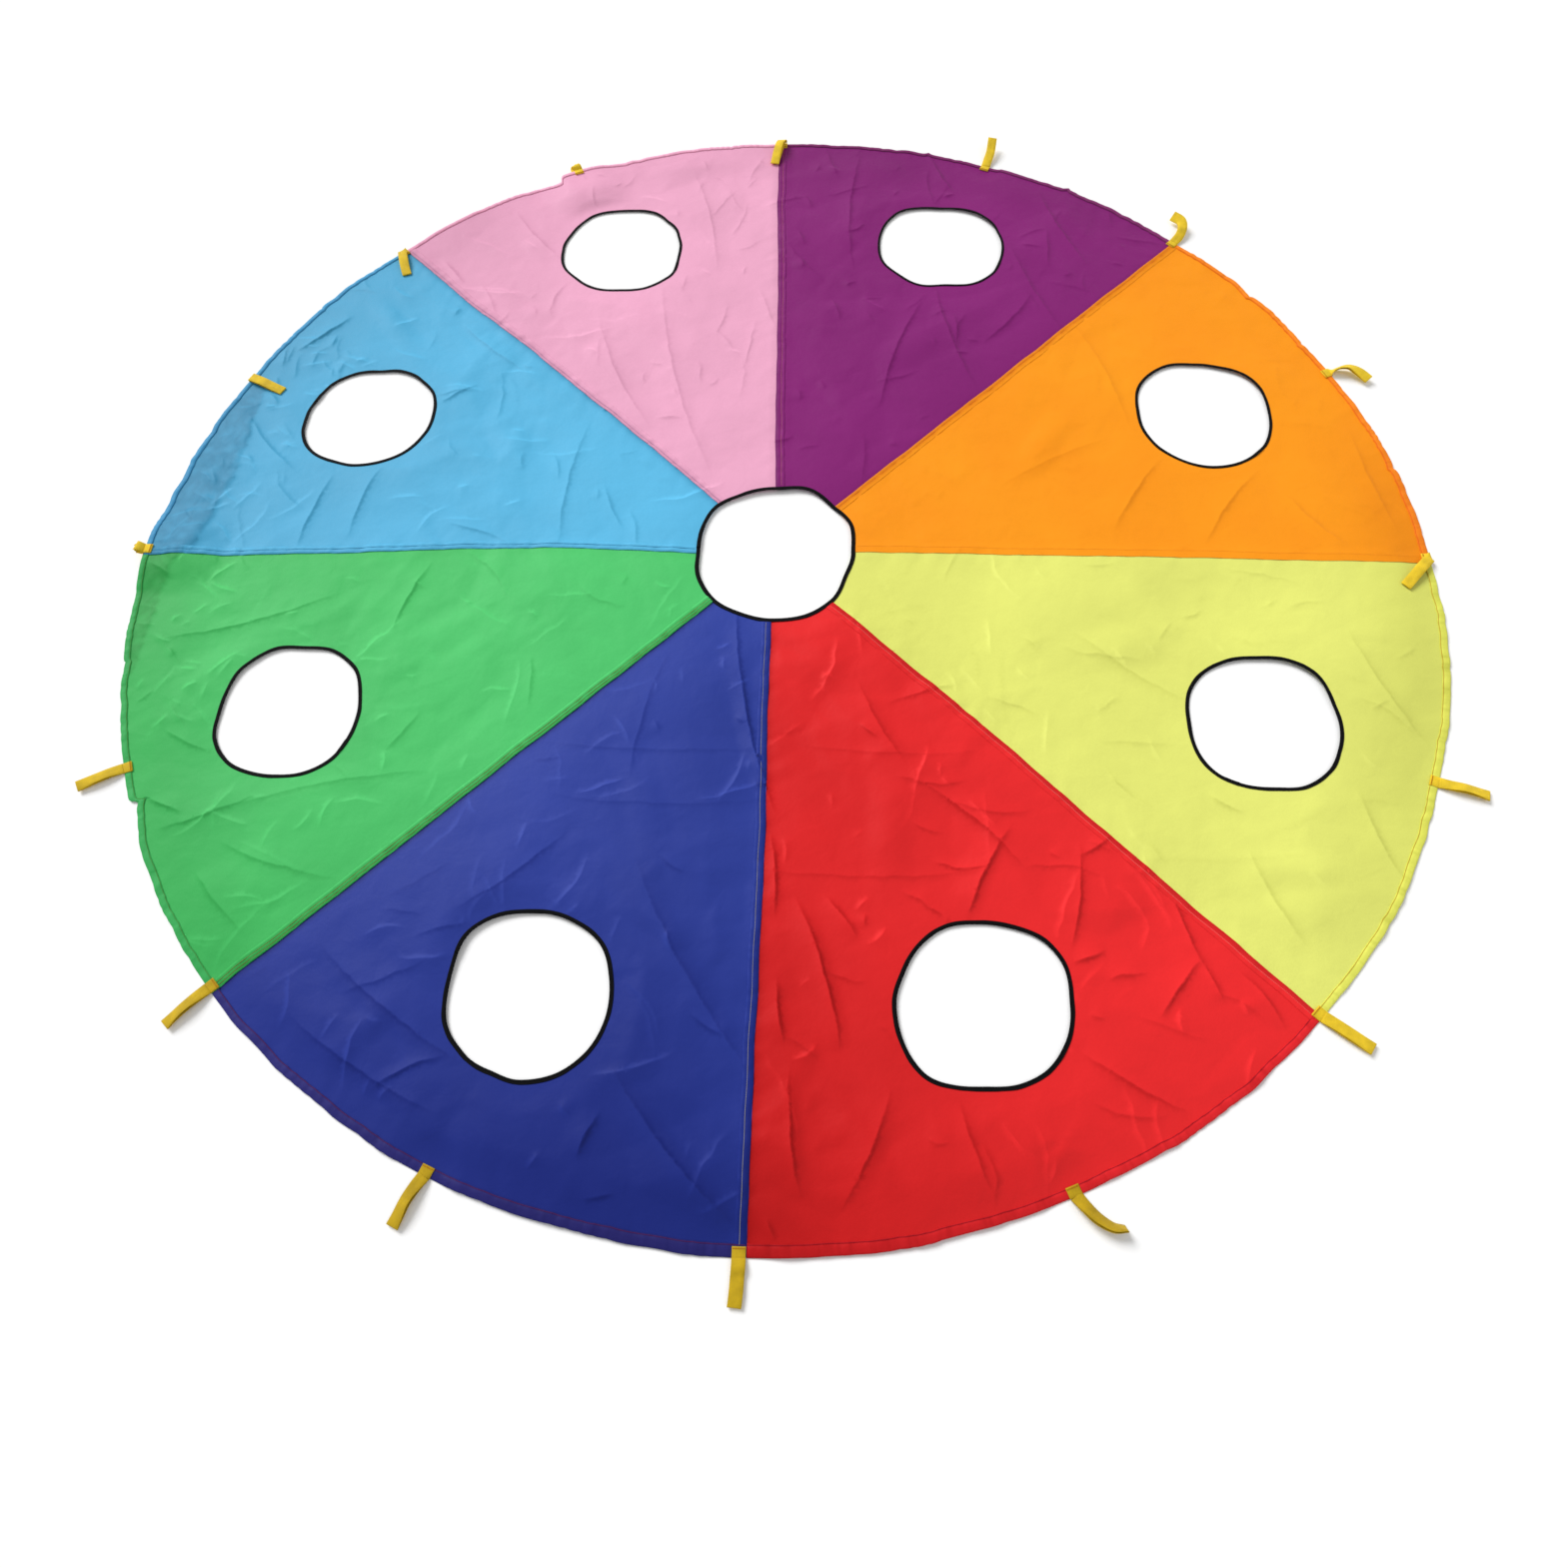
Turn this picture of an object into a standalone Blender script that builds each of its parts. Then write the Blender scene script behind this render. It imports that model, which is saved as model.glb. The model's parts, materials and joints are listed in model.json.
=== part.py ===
"""Play parachute: a round canopy of eight cloth gores, lying spread on a floor.

The gores are sewn edge to edge with lapped seams, and each has a round hole bound
with tape. A ninth bound hole is at the centre. Sixteen webbing loops are sewn on
the hem, each as a stitched root and a free loop that swings over the rim. Half of
the canopy folds over the other half along one seam line, as it does for storage.

Metres, +Z up. The origin is on the floor under the centre of the canopy. Angles
run anticlockwise from +X, and a gore lies between two seams.
"""

import math

import bmesh
import bpy
from mathutils import Matrix, Vector
from mathutils.geometry import delaunay_2d_cdt, intersect_line_line_2d

# Canopy
canopy_diameter = 3.05
cloth_thickness = 0.00025
panel_names = ("orange", "purple", "pink", "sky_blue", "green", "blue", "red", "yellow")
panel_count = len(panel_names)
clearance = 0.0003

# Hem and seams. A lapped seam is a folded band on one gore over the next gore's tongue.
hem_width = 0.022
hem_layers = 3
seam_width = 0.022
seam_layers = 2
seam_tongue = 0.014
layer_step = 0.0012

# Gores that carry the folded band at their start edge, and those that carry it at
# their end edge. At the fold line the tongue is on the half that stays on the floor.
bands_at_start = ("orange", "purple")
bands_at_end = ("purple", "pink", "sky_blue", "green", "blue", "red")

# Holes
panel_hole_diameter = 0.334
panel_hole_place = 1.16
centre_hole_diameter = 0.382
tape_cover = 0.008
tape_thickness = 0.0005
tape_bulge = 0.0012
seat_width = 0.014
seat_fade = 0.055

# How the cloth lies: lifts of the rim between handles, and the main folds
rim_lift = 0.010
rim_lift_reach = 0.30
handle_flat = 0.030
tuck_lift = 0.016
tuck_reach = 0.14
fold_height = 0.011
fold_length = 0.34
fold_width = 0.13

# Handles
webbing_width = 0.025
webbing_thickness = 0.0012
loop_length = 0.090
loop_mouth = 0.0075
loop_tip_radius = 0.0016
root_turn_radius = 0.00075
root_soft_share = 0.08
sway_power = 1.4
seam_offset = 0.0135

# Storage fold: its line is the seam line at this angle, and its height is above the cloth
fold_line_angle = math.radians(45)
fold_line_height = 0.0035

# Facets
rim_facets = 96
centre_facets = 32
hole_facets = 24
fade_facets = 14
fill_spacing = 0.115
edge_spacing = 0.13
loop_steps = 7
tip_steps = 4

# Each hole's outline, as shares of its radius in eight directions from +X
hole_outline_shares = {
    "orange": (0.97, 1.06, 1.01, 1.07, 0.98, 0.99, 1.03, 1.02),
    "purple": (0.98, 1.03, 0.98, 1.14, 1.10, 1.04, 0.95, 1.03),
    "pink": (0.87, 0.95, 0.97, 1.11, 1.12, 1.11, 1.05, 1.02),
    "sky_blue": (1.02, 1.00, 0.93, 0.96, 0.95, 1.02, 0.98, 0.99),
    "green": (0.94, 1.02, 1.03, 1.05, 0.95, 0.98, 0.93, 0.97),
    "blue": (0.95, 1.03, 1.05, 1.14, 1.00, 0.98, 0.95, 0.97),
    "red": (0.96, 1.07, 1.00, 1.05, 1.05, 1.08, 0.94, 0.96),
    "yellow": (0.97, 1.08, 0.99, 1.00, 0.95, 1.02, 0.96, 0.97),
    "centre": (0.96, 1.07, 1.05, 1.04, 0.96, 0.97, 0.96, 1.00),
}

# Rim lift between each two handles, as shares of rim_lift
rim_lift_shares = (0.9, 0.4, 0.7, 0.9, 0.5, 0.8, 1.0, 0.6, 0.5, 0.9, 0.6, 0.4, 0.7, 0.5, 0.8, 0.6)

# Main folds: gore, place along and across it, direction from its middle line in
# degrees, then length, width and height as shares of the fold sizes
fold_shares = (
    ("orange", 0.50, 0.25, 35, 1.0, 0.8, 0.7),
    ("purple", 0.50, -0.20, -30, 1.0, 1.0, 0.8),
    ("pink", 0.52, 0.15, 20, 1.1, 1.0, 0.7),
    ("sky_blue", 0.50, -0.20, -40, 1.0, 0.9, 0.9),
    ("green", 0.52, -0.25, 15, 1.0, 0.9, 0.8),
    ("blue", 0.46, 0.05, 40, 0.9, 0.8, 0.8),
    ("red", 0.50, -0.10, -25, 1.1, 0.9, 1.0),
    ("yellow", 0.54, 0.20, 30, 1.0, 1.0, 0.7),
    ("red", 0.88, -0.62, 12, 0.9, 0.6, 0.9),
    ("blue", 0.90, -0.50, -20, 0.8, 0.7, 0.8),
    ("yellow", 0.88, -0.58, 25, 0.8, 0.7, 0.7),
    ("sky_blue", 0.86, -0.60, -30, 0.8, 0.7, 0.8),
)

# Handles from 0 degrees on: kind, sideways lean in degrees, and the mouth as a share.
# Kinds: out lies on the floor, in is folded over the hem, under is tucked below it.
handle_shares = (
    ("in", -38, 0.9),
    ("out", -22, 1.1),
    ("out", 10, 1.1),
    ("out", 5, 1.0),
    ("in", -8, 0.9),
    ("under", 0, 0.72),
    ("in", 20, 0.9),
    ("in", 6, 1.0),
    ("under", -8, 0.72),
    ("out", 5, 1.0),
    ("out", 0, 1.0),
    ("out", -3, 1.1),
    ("out", -2, 1.0),
    ("out", 28, 1.1),
    ("out", 4, 1.0),
    ("out", 4, 1.0),
)

# A loop's side view: how far it is turned in at its root, then how much it turns by
# its bend and by its tip, in degrees, and the share of its length that bends
loop_turn_shares = {
    "out": (0, -1, 0, 0.5),
    "in": (171, 12, 12, 0.4),
    "under": (0, -177, -179, 0.15),
}

# Colours
panel_colours = {
    "orange": (1.0, 0.32, 0.013),
    "purple": (0.238, 0.021, 0.188),
    "pink": (0.87, 0.40, 0.60),
    "sky_blue": (0.114, 0.485, 0.807),
    "green": (0.080, 0.565, 0.150),
    "blue": (0.038, 0.053, 0.327),
    "red": (0.775, 0.021, 0.026),
    "yellow": (0.737, 0.807, 0.156),
}
tape_colour = (0.010, 0.010, 0.012)
webbing_colour = (0.679, 0.485, 0.017)

# Worked-out values
rim_radius = canopy_diameter / 2
hem_start = rim_radius - hem_width - layer_step - clearance
handle_count = len(handle_shares)
gore_angle = 2 * math.pi / panel_count
handle_angle = 2 * math.pi / handle_count
tape_seat = clearance + tape_thickness
lap_rise = cloth_thickness + clearance
seam_height = lap_rise + seam_layers * cloth_thickness
stack_height = 2 * (webbing_thickness / 2 + root_turn_radius)
fold_line = Vector((math.cos(fold_line_angle), math.sin(fold_line_angle)))


def polar(radius, angle):
    return Vector((radius * math.cos(angle), radius * math.sin(angle)))


def angle_of(point):
    return math.atan2(point.y, point.x) % (2 * math.pi)


def ease(share):
    share = min(max(share, 0), 1)
    return share * share * (3 - 2 * share)


def facet_radius(angle, facets):
    """A unit circle's radius where it is drawn with straight facets."""
    step = 2 * math.pi / facets
    return math.cos(step / 2) / math.cos(angle % step - step / 2)


def rim_point(angle, inset=0):
    return polar((rim_radius - inset) * facet_radius(angle, rim_facets), angle)


def rim_distance(point):
    """How far a point is inside the faceted rim, measured along its radius."""
    return rim_radius - point.length / facet_radius(angle_of(point), rim_facets)


def outline_radius(name, angle):
    """A hole's radius in one direction, eased between its eight outline shares."""
    shares = hole_outline_shares[name]
    place = (angle % (2 * math.pi)) / (2 * math.pi) * len(shares)
    index = int(place) % len(shares)
    after = shares[(index + 1) % len(shares)]
    share = shares[index] + (after - shares[index]) * ease(place - int(place))
    diameter = centre_hole_diameter if name == "centre" else panel_hole_diameter
    return share * diameter / 2


def hole_centre(name):
    if name == "centre":
        return Vector((0, 0))
    return polar(panel_hole_place, (panel_names.index(name) + 0.5) * gore_angle)


def hole_point(name, angle, inset=0):
    """A point of the hole's faceted edge, or outside it by the inset."""
    facets = centre_facets if name == "centre" else hole_facets
    step = 2 * math.pi / facets
    before = math.floor(angle / step + 1e-6) * step
    ends = [polar(outline_radius(name, a) + inset, a) for a in (before, before + step)]
    share = (angle - before) / step
    chord = ends[1] - ends[0]
    if share < 1e-6:
        return hole_centre(name) + ends[0]
    ray = polar(canopy_diameter, angle)
    crossing = intersect_line_line_2d(Vector((0, 0)), ray, ends[0] - chord, ends[1] + chord)
    return hole_centre(name) + crossing


def hole_distance(point):
    """The distance from a point to the nearest hole's edge."""
    nearest = canopy_diameter
    for name in hole_outline_shares:
        offset = point - hole_centre(name)
        nearest = min(nearest, offset.length - outline_radius(name, angle_of(offset)))
    return nearest


def rim_wave(point):
    place = angle_of(point) / handle_angle
    sector = int(place) % handle_count
    flat = handle_flat / (rim_radius * handle_angle)
    share = min(max((place - int(place) - flat) / (1 - 2 * flat), 0), 1)
    reach = ease(1 - rim_distance(point) / rim_lift_reach)
    return rim_lift * rim_lift_shares[sector] * math.sin(math.pi * share) ** 2 * reach


def tuck(point):
    """The rim's lift over a handle that is tucked under it."""
    height = 0
    for index, (kind, _, _) in enumerate(handle_shares):
        if kind != "under":
            continue
        root = rim_point(index * handle_angle) + root_shift(index)
        away = point - root
        across = abs(away.dot(across_at(index)))
        along = abs(away.dot(polar(1, index * handle_angle)))
        side = ease(1 - (across - webbing_width) / (tuck_reach - webbing_width))
        depth = ease(1 - (along - loop_length) / (tuck_reach - webbing_width))
        height = max(height, tuck_lift * side * depth)
    return height


def folds(point):
    height = 0
    for name, along, across, turn, length, width, share in fold_shares:
        middle = (panel_names.index(name) + 0.5) * gore_angle
        centre = polar(along * rim_radius, middle + across * gore_angle / 2)
        away = point - centre
        run = polar(1, middle + math.radians(turn))
        u = away.dot(run) / (length * fold_length / 2)
        v = away.dot(Vector((-run.y, run.x))) / (width * fold_width / 2)
        if abs(u) < 1 and abs(v) < 1:
            height += fold_height * share * (1 - u * u) ** 2 * (1 - v * v) ** 2
    return height


def lie(point):
    """The height of the cloth's underside above the floor."""
    free = ease((hole_distance(point) - seat_width) / (seat_fade - seat_width))
    return tape_seat * (1 - free) + free * (rim_wave(point) + tuck(point) + folds(point))


def across_at(index):
    """The direction along the rim at a handle, anticlockwise."""
    return polar(1, index * handle_angle + math.pi / 2)


def root_shift(index):
    """How far a handle on a seam is moved to sit beside the seam line."""
    if index % 2:
        return Vector((0, 0))
    side = 1 if index == 0 else -1
    return side * seam_offset * across_at(index)


def band_edges(panel):
    """Whether a gore's start edge and its end edge carry a seam band."""
    name = panel_names[panel]
    return name in bands_at_start, name in bands_at_end


def edge_distances(panel, point):
    """How far a point is inside a gore's start and end seam lines."""
    start, end = panel * gore_angle, (panel + 1) * gore_angle
    start_normal = polar(1, start + math.pi / 2)
    end_normal = polar(1, end - math.pi / 2)
    return point.dot(start_normal), point.dot(end_normal)


def ramp(distance, width):
    return min(max((width + layer_step - distance) / layer_step, 0), 1)


def cloth_heights(panel, point):
    """The underside and top of one gore's cloth at a point."""
    band = 0
    for banded, distance in zip(band_edges(panel), edge_distances(panel, point)):
        if banded:
            band = max(band, ramp(distance, seam_width))
    hem = ramp(rim_distance(point), hem_width)
    layers = 1 + max((hem_layers - 1) * hem, (seam_layers - 1) * band)
    bottom = lie(point) + lap_rise * band
    return bottom, bottom + layers * cloth_thickness


def seam_point(panel, at_end, radius, inside):
    """A point beside a seam line, at a distance inside it, or outside where negative."""
    angle = (panel + at_end) * gore_angle
    normal = polar(1, angle + (-1 if at_end else 1) * math.pi / 2)
    return math.sqrt(radius**2 - inside**2) * polar(1, angle) + inside * normal


def edge_gap(panel, at_end):
    """How far inside its seam line a gore's edge lies, which is outside for a tongue."""
    return clearance / 2 if band_edges(panel)[at_end] else -seam_tongue


def centre_corner(panel, at_end, inside, inset):
    """Where a line beside a seam meets the centre hole's edge, or a line outside it."""
    angle = (panel + at_end) * gore_angle
    point = seam_point(panel, at_end, outline_radius("centre", angle) + inset, inside)
    return hole_point("centre", angle_of(point), inset)


def seam_line(panel, at_end, inside):
    """A line beside a seam, from the centre hole's edge to the start of the hem.

    Every line along a seam has its points at the same distances from the centre, so
    that the layers stay clear of each other where the cloth is lifted.
    """
    insets = (0, seat_width, seat_fade)
    points = [centre_corner(panel, at_end, inside, inset) for inset in insets]
    inner = outline_radius("centre", (panel + at_end) * gore_angle) + seat_fade
    steps = round((hem_start - inner) / edge_spacing)
    radii = [inner + (hem_start - inner) * i / steps for i in range(1, steps + 1)]
    return points + [seam_point(panel, at_end, radius, inside) for radius in radii]


def edge_points(panel, at_end):
    """A gore's straight edge from the centre hole to the rim."""
    points = seam_line(panel, at_end, edge_gap(panel, at_end))
    if not band_edges(panel)[at_end]:
        points.append(seam_point(panel, at_end, hem_start, clearance / 2))
    corner = seam_point(panel, at_end, rim_radius, clearance / 2)
    return points + [rim_point(angle_of(corner))]


def angle_near(point, angle):
    """A point's angle, turned by whole turns to lie near another angle."""
    return angle + (angle_of(point) - angle + math.pi) % (2 * math.pi) - math.pi


def arc_between(panel, first, last, facets, place):
    """A gore's arc on a faceted ring, from its start edge to its end edge."""
    step = 2 * math.pi / facets
    low = angle_near(first, panel * gore_angle) / step
    high = angle_near(last, (panel + 1) * gore_angle) / step
    corners = range(math.floor(low + 1e-3) + 1, math.ceil(high - 1e-3))
    return [first] + [place(index * step) for index in corners] + [last]


def rim_arc(panel, inset):
    ends = [seam_point(panel, e, rim_radius - inset, clearance / 2) for e in (0, 1)]
    first, last = [rim_point(angle_of(p), inset) for p in ends]
    return arc_between(panel, first, last, rim_facets, lambda a: rim_point(a, inset))


def centre_arc(panel, inset):
    first, last = [centre_corner(panel, e, edge_gap(panel, e), inset) for e in (0, 1)]
    return arc_between(
        panel, first, last, centre_facets, lambda a: hole_point("centre", a, inset)
    )


def gore_outline(panel):
    start, end = edge_points(panel, 0), edge_points(panel, 1)
    rim, hole = rim_arc(panel, 0), centre_arc(panel, 0)
    return start + rim[1:-1] + end[::-1] + hole[-2:0:-1]


def within(point, outline):
    """Whether a point is inside a closed outline."""
    inside = False
    for a, b in zip(outline, outline[1:] + outline[:1]):
        if (a.y > point.y) != (b.y > point.y):
            if point.x < a.x + (point.y - a.y) / (b.y - a.y) * (b.x - a.x):
                inside = not inside
    return inside


def layer_lines(panel):
    """The lines where the hem, the seams and the hole's seat change the height."""
    lines = [rim_arc(panel, inset) for inset in (hem_width, hem_width + layer_step)]
    lines += [centre_arc(panel, inset) for inset in (seat_width, seat_fade)]
    for at_end, banded in enumerate(band_edges(panel)):
        if not banded:
            lines.append(seam_line(panel, at_end, clearance / 2))
            continue
        for inside in (seam_width, seam_width + layer_step):
            last = rim_point(angle_of(seam_point(panel, at_end, rim_radius, inside)))
            lines.append(seam_line(panel, at_end, inside) + [last])
    return lines


def hole_ring(name, inset):
    """A ring round a gore's hole, at an inset from its faceted edge."""
    step = 2 * math.pi / hole_facets
    return [hole_point(name, index * step, inset) for index in range(hole_facets)]


def fade_ring(name):
    """The ring where the cloth is free of the hole's binding again."""
    angles = [index * 2 * math.pi / fade_facets for index in range(fade_facets)]
    centre = hole_centre(name)
    return [centre + polar(outline_radius(name, a) + seat_fade, a) for a in angles]


def fill_points(panel, outline):
    """Points that fill a gore in staggered rows, clear of its lines."""
    points = []
    middle = (panel + 0.5) * gore_angle
    rows = int(rim_radius / fill_spacing)
    for row in range(1, rows + 1):
        radius = row * fill_spacing
        half = int(radius * gore_angle / fill_spacing)
        for column in range(-half, half + 1):
            share = (column + (row % 2) / 2) * fill_spacing / radius
            point = polar(radius, middle + share)
            if not within(point, outline):
                continue
            if min(edge_distances(panel, point)) < fill_spacing / 2:
                continue
            if rim_distance(point) < fill_spacing / 2 + hem_width:
                continue
            if hole_distance(point) < seat_fade + fill_spacing / 3:
                continue
            points.append(point)
    return points


def gore_triangles(panel):
    """The gore's plan, as points and triangles."""
    name = panel_names[panel]
    outline = gore_outline(panel)
    hole = hole_ring(name, 0)
    points, edges = [], []

    def add(chain, closed):
        first = len(points)
        points.extend(chain)
        edges.extend((first + i, first + i + 1) for i in range(len(chain) - 1))
        if closed:
            edges.append((first + len(chain) - 1, first))

    add(outline, True)
    add(hole, True)
    add(hole_ring(name, seat_width), True)
    add(fade_ring(name), True)
    for line in layer_lines(panel):
        add(line, False)
    points.extend(fill_points(panel, outline))
    flat, _, faces = delaunay_2d_cdt(points, edges, [], 0, clearance / 10)[:3]
    kept = []
    for face in faces:
        middle = sum((flat[i] for i in face), Vector((0, 0))) / len(face)
        if within(middle, outline) and not within(middle, hole):
            kept.append(face)
    return flat, kept


def finish(bm, name, colour, roughness):
    """Turns a mesh into one named object with its own material."""
    bmesh.ops.recalc_face_normals(bm, faces=bm.faces)
    mesh = bpy.data.meshes.new(name)
    bm.to_mesh(mesh)
    bm.free()
    mesh.shade_smooth()
    mesh.set_sharp_from_angle(angle=math.radians(35))
    material = bpy.data.materials.new(name)
    material.use_nodes = True
    shader = material.node_tree.nodes["Principled BSDF"]
    shader.inputs["Base Color"].default_value = (*colour, 1)
    shader.inputs["Roughness"].default_value = roughness
    shader.inputs["Metallic"].default_value = 0
    mesh.materials.append(material)
    body = bpy.data.objects.new(name, mesh)
    bpy.context.collection.objects.link(body)
    return body


def make_gore(panel):
    """One gore: its plan is extruded up, then both faces take the cloth's heights."""
    name = panel_names[panel]
    flat, faces = gore_triangles(panel)
    bm = bmesh.new()
    used = sorted({index for face in faces for index in face})
    verts = {i: bm.verts.new((*flat[i], 0)) for i in used}
    for face in faces:
        bm.faces.new([verts[i] for i in face])
    lower = set(bm.verts)
    bmesh.ops.extrude_face_region(bm, geom=bm.faces[:])
    for vert in bm.verts:
        bottom, top = cloth_heights(panel, vert.co.xy)
        vert.co.z = bottom if vert in lower else top
    return finish(bm, f"panel_{name}", panel_colours[name], 0.5)


def loft(sections, closed):
    """Skins a row of sections with the same number of points each."""
    bm = bmesh.new()
    rings = [[bm.verts.new(point) for point in section] for section in sections]
    count = len(rings[0])
    for index in range(len(rings) if closed else len(rings) - 1):
        ring, after = rings[index], rings[(index + 1) % len(rings)]
        for i in range(count):
            j = (i + 1) % count
            bm.faces.new((ring[i], ring[j], after[j], after[i]))
    if not closed:
        bm.faces.new(rings[0])
        bm.faces.new(rings[-1])
    return bm


def make_binding(name):
    """Tape folded round the edge of a hole: a channel that the cloth's edge sits in."""
    facets = centre_facets if name == "centre" else hole_facets
    stack = seam_height if name == "centre" else cloth_thickness
    cover, back = tape_cover, -(clearance + tape_thickness)
    top = tape_seat + stack + clearance + tape_thickness
    profile = (
        (back, 0),
        (cover, 0),
        (cover, tape_thickness),
        (-clearance, tape_thickness),
        (-clearance, top - tape_thickness),
        (cover, top - tape_thickness),
        (cover, top),
        (back, top),
        (back - tape_bulge, top / 2),
    )
    sections = []
    for index in range(facets):
        angle = index * 2 * math.pi / facets
        out = [hole_point(name, angle, inset) for inset, _ in profile]
        sections.append([(*p, z) for p, (_, z) in zip(out, profile)])
    return finish(loft(sections, True), f"hole_binding_{name}", tape_colour, 0.6)


def hem_top(index):
    """The hem's highest point under a handle's root."""
    panel = (index - 1) // 2 if index % 2 == 0 and index else index // 2
    heights = []
    for inset in (0, hem_width / 2, hem_width - layer_step):
        for side in (-1, 0, 1):
            point = rim_point(index * handle_angle, inset) + root_shift(index)
            point += side * webbing_width / 2 * across_at(index)
            heights.append(cloth_heights(panel, point)[1])
    return max(heights)


def root_height(index):
    return hem_top(index) + clearance


def handle_frame(index):
    """A handle's hinge point, and its directions outward and along the rim.

    The hinge is level with the top of the stitched root, so the loop folds flat on it.
    """
    out = polar(1, index * handle_angle).to_3d()
    across = across_at(index).to_3d()
    point = (rim_point(index * handle_angle) + root_shift(index)).to_3d()
    point.z = root_height(index) + stack_height + clearance / 2
    return point, out, across


def make_root(index):
    """The handle's two ends, stacked and sewn down on the hem."""
    hinge, out, across = handle_frame(index)
    ends = (layer_step - hem_width, -clearance)
    half = webbing_width / 2
    soft = webbing_thickness / 4
    top = -clearance / 2
    sections = []
    for share in (0, root_soft_share, 1 - root_soft_share, 1):
        along = hinge + (ends[0] + share * (ends[1] - ends[0])) * out
        drop = soft if share in (0, 1) else 0
        low, high = top + drop - stack_height, top - drop
        corners = ((-half, low), (half, low), (half, high), (-half, high))
        sections.append([along + v * across + Vector((0, 0, w)) for v, w in corners])
    return finish(loft(sections, False), f"handle_root_{index + 1:02d}", webbing_colour, 0.7)


def loop_line(index):
    """The middle line of the loop's root stack, run on to its tip, in its side view."""
    root, bend, tip, share = loop_turn_shares[handle_shares[index][0]]
    start = Vector((stack_height / 2, -(clearance + stack_height) / 2))
    start.rotate(Matrix.Rotation(math.radians(root), 2))
    places, directions = [start], []
    fine = 8
    steps = loop_steps * fine
    for step in range(steps + 1):
        along = step / steps
        turn = root + bend * ease(along / share)
        turn += (tip - bend) * ease((along - share) / (1 - share))
        directions.append(polar(1, math.radians(turn)))
        places.append(places[-1] + directions[-1] * loop_length / steps)
    return [(places[i * fine], directions[i * fine]) for i in range(loop_steps + 1)]


def loop_path(index):
    """The webbing's middle line round the whole loop, as (side view point, share)."""
    kind, _, mouth = handle_shares[index]
    side = -1 if kind == "in" else 1
    near, far = [], []
    line = loop_line(index)
    for step, (place, direction) in enumerate(line):
        share = step / loop_steps
        normal = side * Vector((-direction.y, direction.x))
        open_by = loop_mouth * mouth * math.sin(math.pi * share)
        grow = 2 * (loop_tip_radius - root_turn_radius) * share
        near.append((place - root_turn_radius * normal, share))
        far.append((place + (root_turn_radius + grow + open_by) * normal, share))
    place, direction = line[-1]
    normal = side * Vector((-direction.y, direction.x))
    middle = place + (loop_tip_radius - root_turn_radius) * normal
    tip = []
    for step in range(1, tip_steps):
        turn = math.pi * step / tip_steps
        reach = math.sin(turn) * direction - math.cos(turn) * normal
        tip.append((middle + loop_tip_radius * reach, 1))
    place, direction = line[0]
    return near + tip + far[::-1] + [(place - root_turn_radius * direction, 0)]


def make_loop(index):
    """The free part of a handle: webbing that goes out, turns and comes back."""
    hinge, out, across = handle_frame(index)
    lean = math.tan(math.radians(handle_shares[index][1]))
    path = loop_path(index)
    half = webbing_thickness / 2
    sections = []
    for i, (place, share) in enumerate(path):
        before, after = path[i - 1][0], path[(i + 1) % len(path)][0]
        run = (after - before).normalized()
        normal = Vector((run.y, -run.x))
        shift = lean * loop_length * share**sway_power
        section = []
        for v, w in ((-1, -1), (1, -1), (1, 1), (-1, 1)):
            side_view = place + w * half * normal
            offset = side_view.x * out + Vector((0, 0, side_view.y))
            section.append(offset + (v * webbing_width / 2 + shift) * across)
        sections.append(section)
    body = finish(loft(sections, True), f"handle_loop_{index + 1:02d}", webbing_colour, 0.7)
    body.location = hinge
    return body


def folds_over(point):
    """Whether a point belongs to the half that folds over, left of the fold line."""
    return fold_line.x * point.y - fold_line.y * point.x > 0


def main():
    for old in list(bpy.data.objects):
        bpy.data.objects.remove(old, do_unlink=True)
    axis = bpy.data.objects.new("fold_axis", None)
    axis.location = (0, 0, fold_line_height)
    bpy.context.collection.objects.link(axis)
    folding = []
    for panel, name in enumerate(panel_names):
        pieces = [make_gore(panel), make_binding(name)]
        if folds_over(hole_centre(name)):
            folding += pieces
    make_binding("centre")
    for index in range(handle_count):
        pieces = [make_root(index), make_loop(index)]
        if folds_over(handle_frame(index)[0]):
            folding += pieces
    for piece in folding:
        piece.parent = axis
        piece.location.z -= fold_line_height


main()
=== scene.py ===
"""Play parachute lying on a pale floor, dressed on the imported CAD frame."""

import json
import math

import bmesh
import bpy
import numpy as np
from mathutils import Matrix, Vector
from mathutils.geometry import delaunay_2d_cdt

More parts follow.
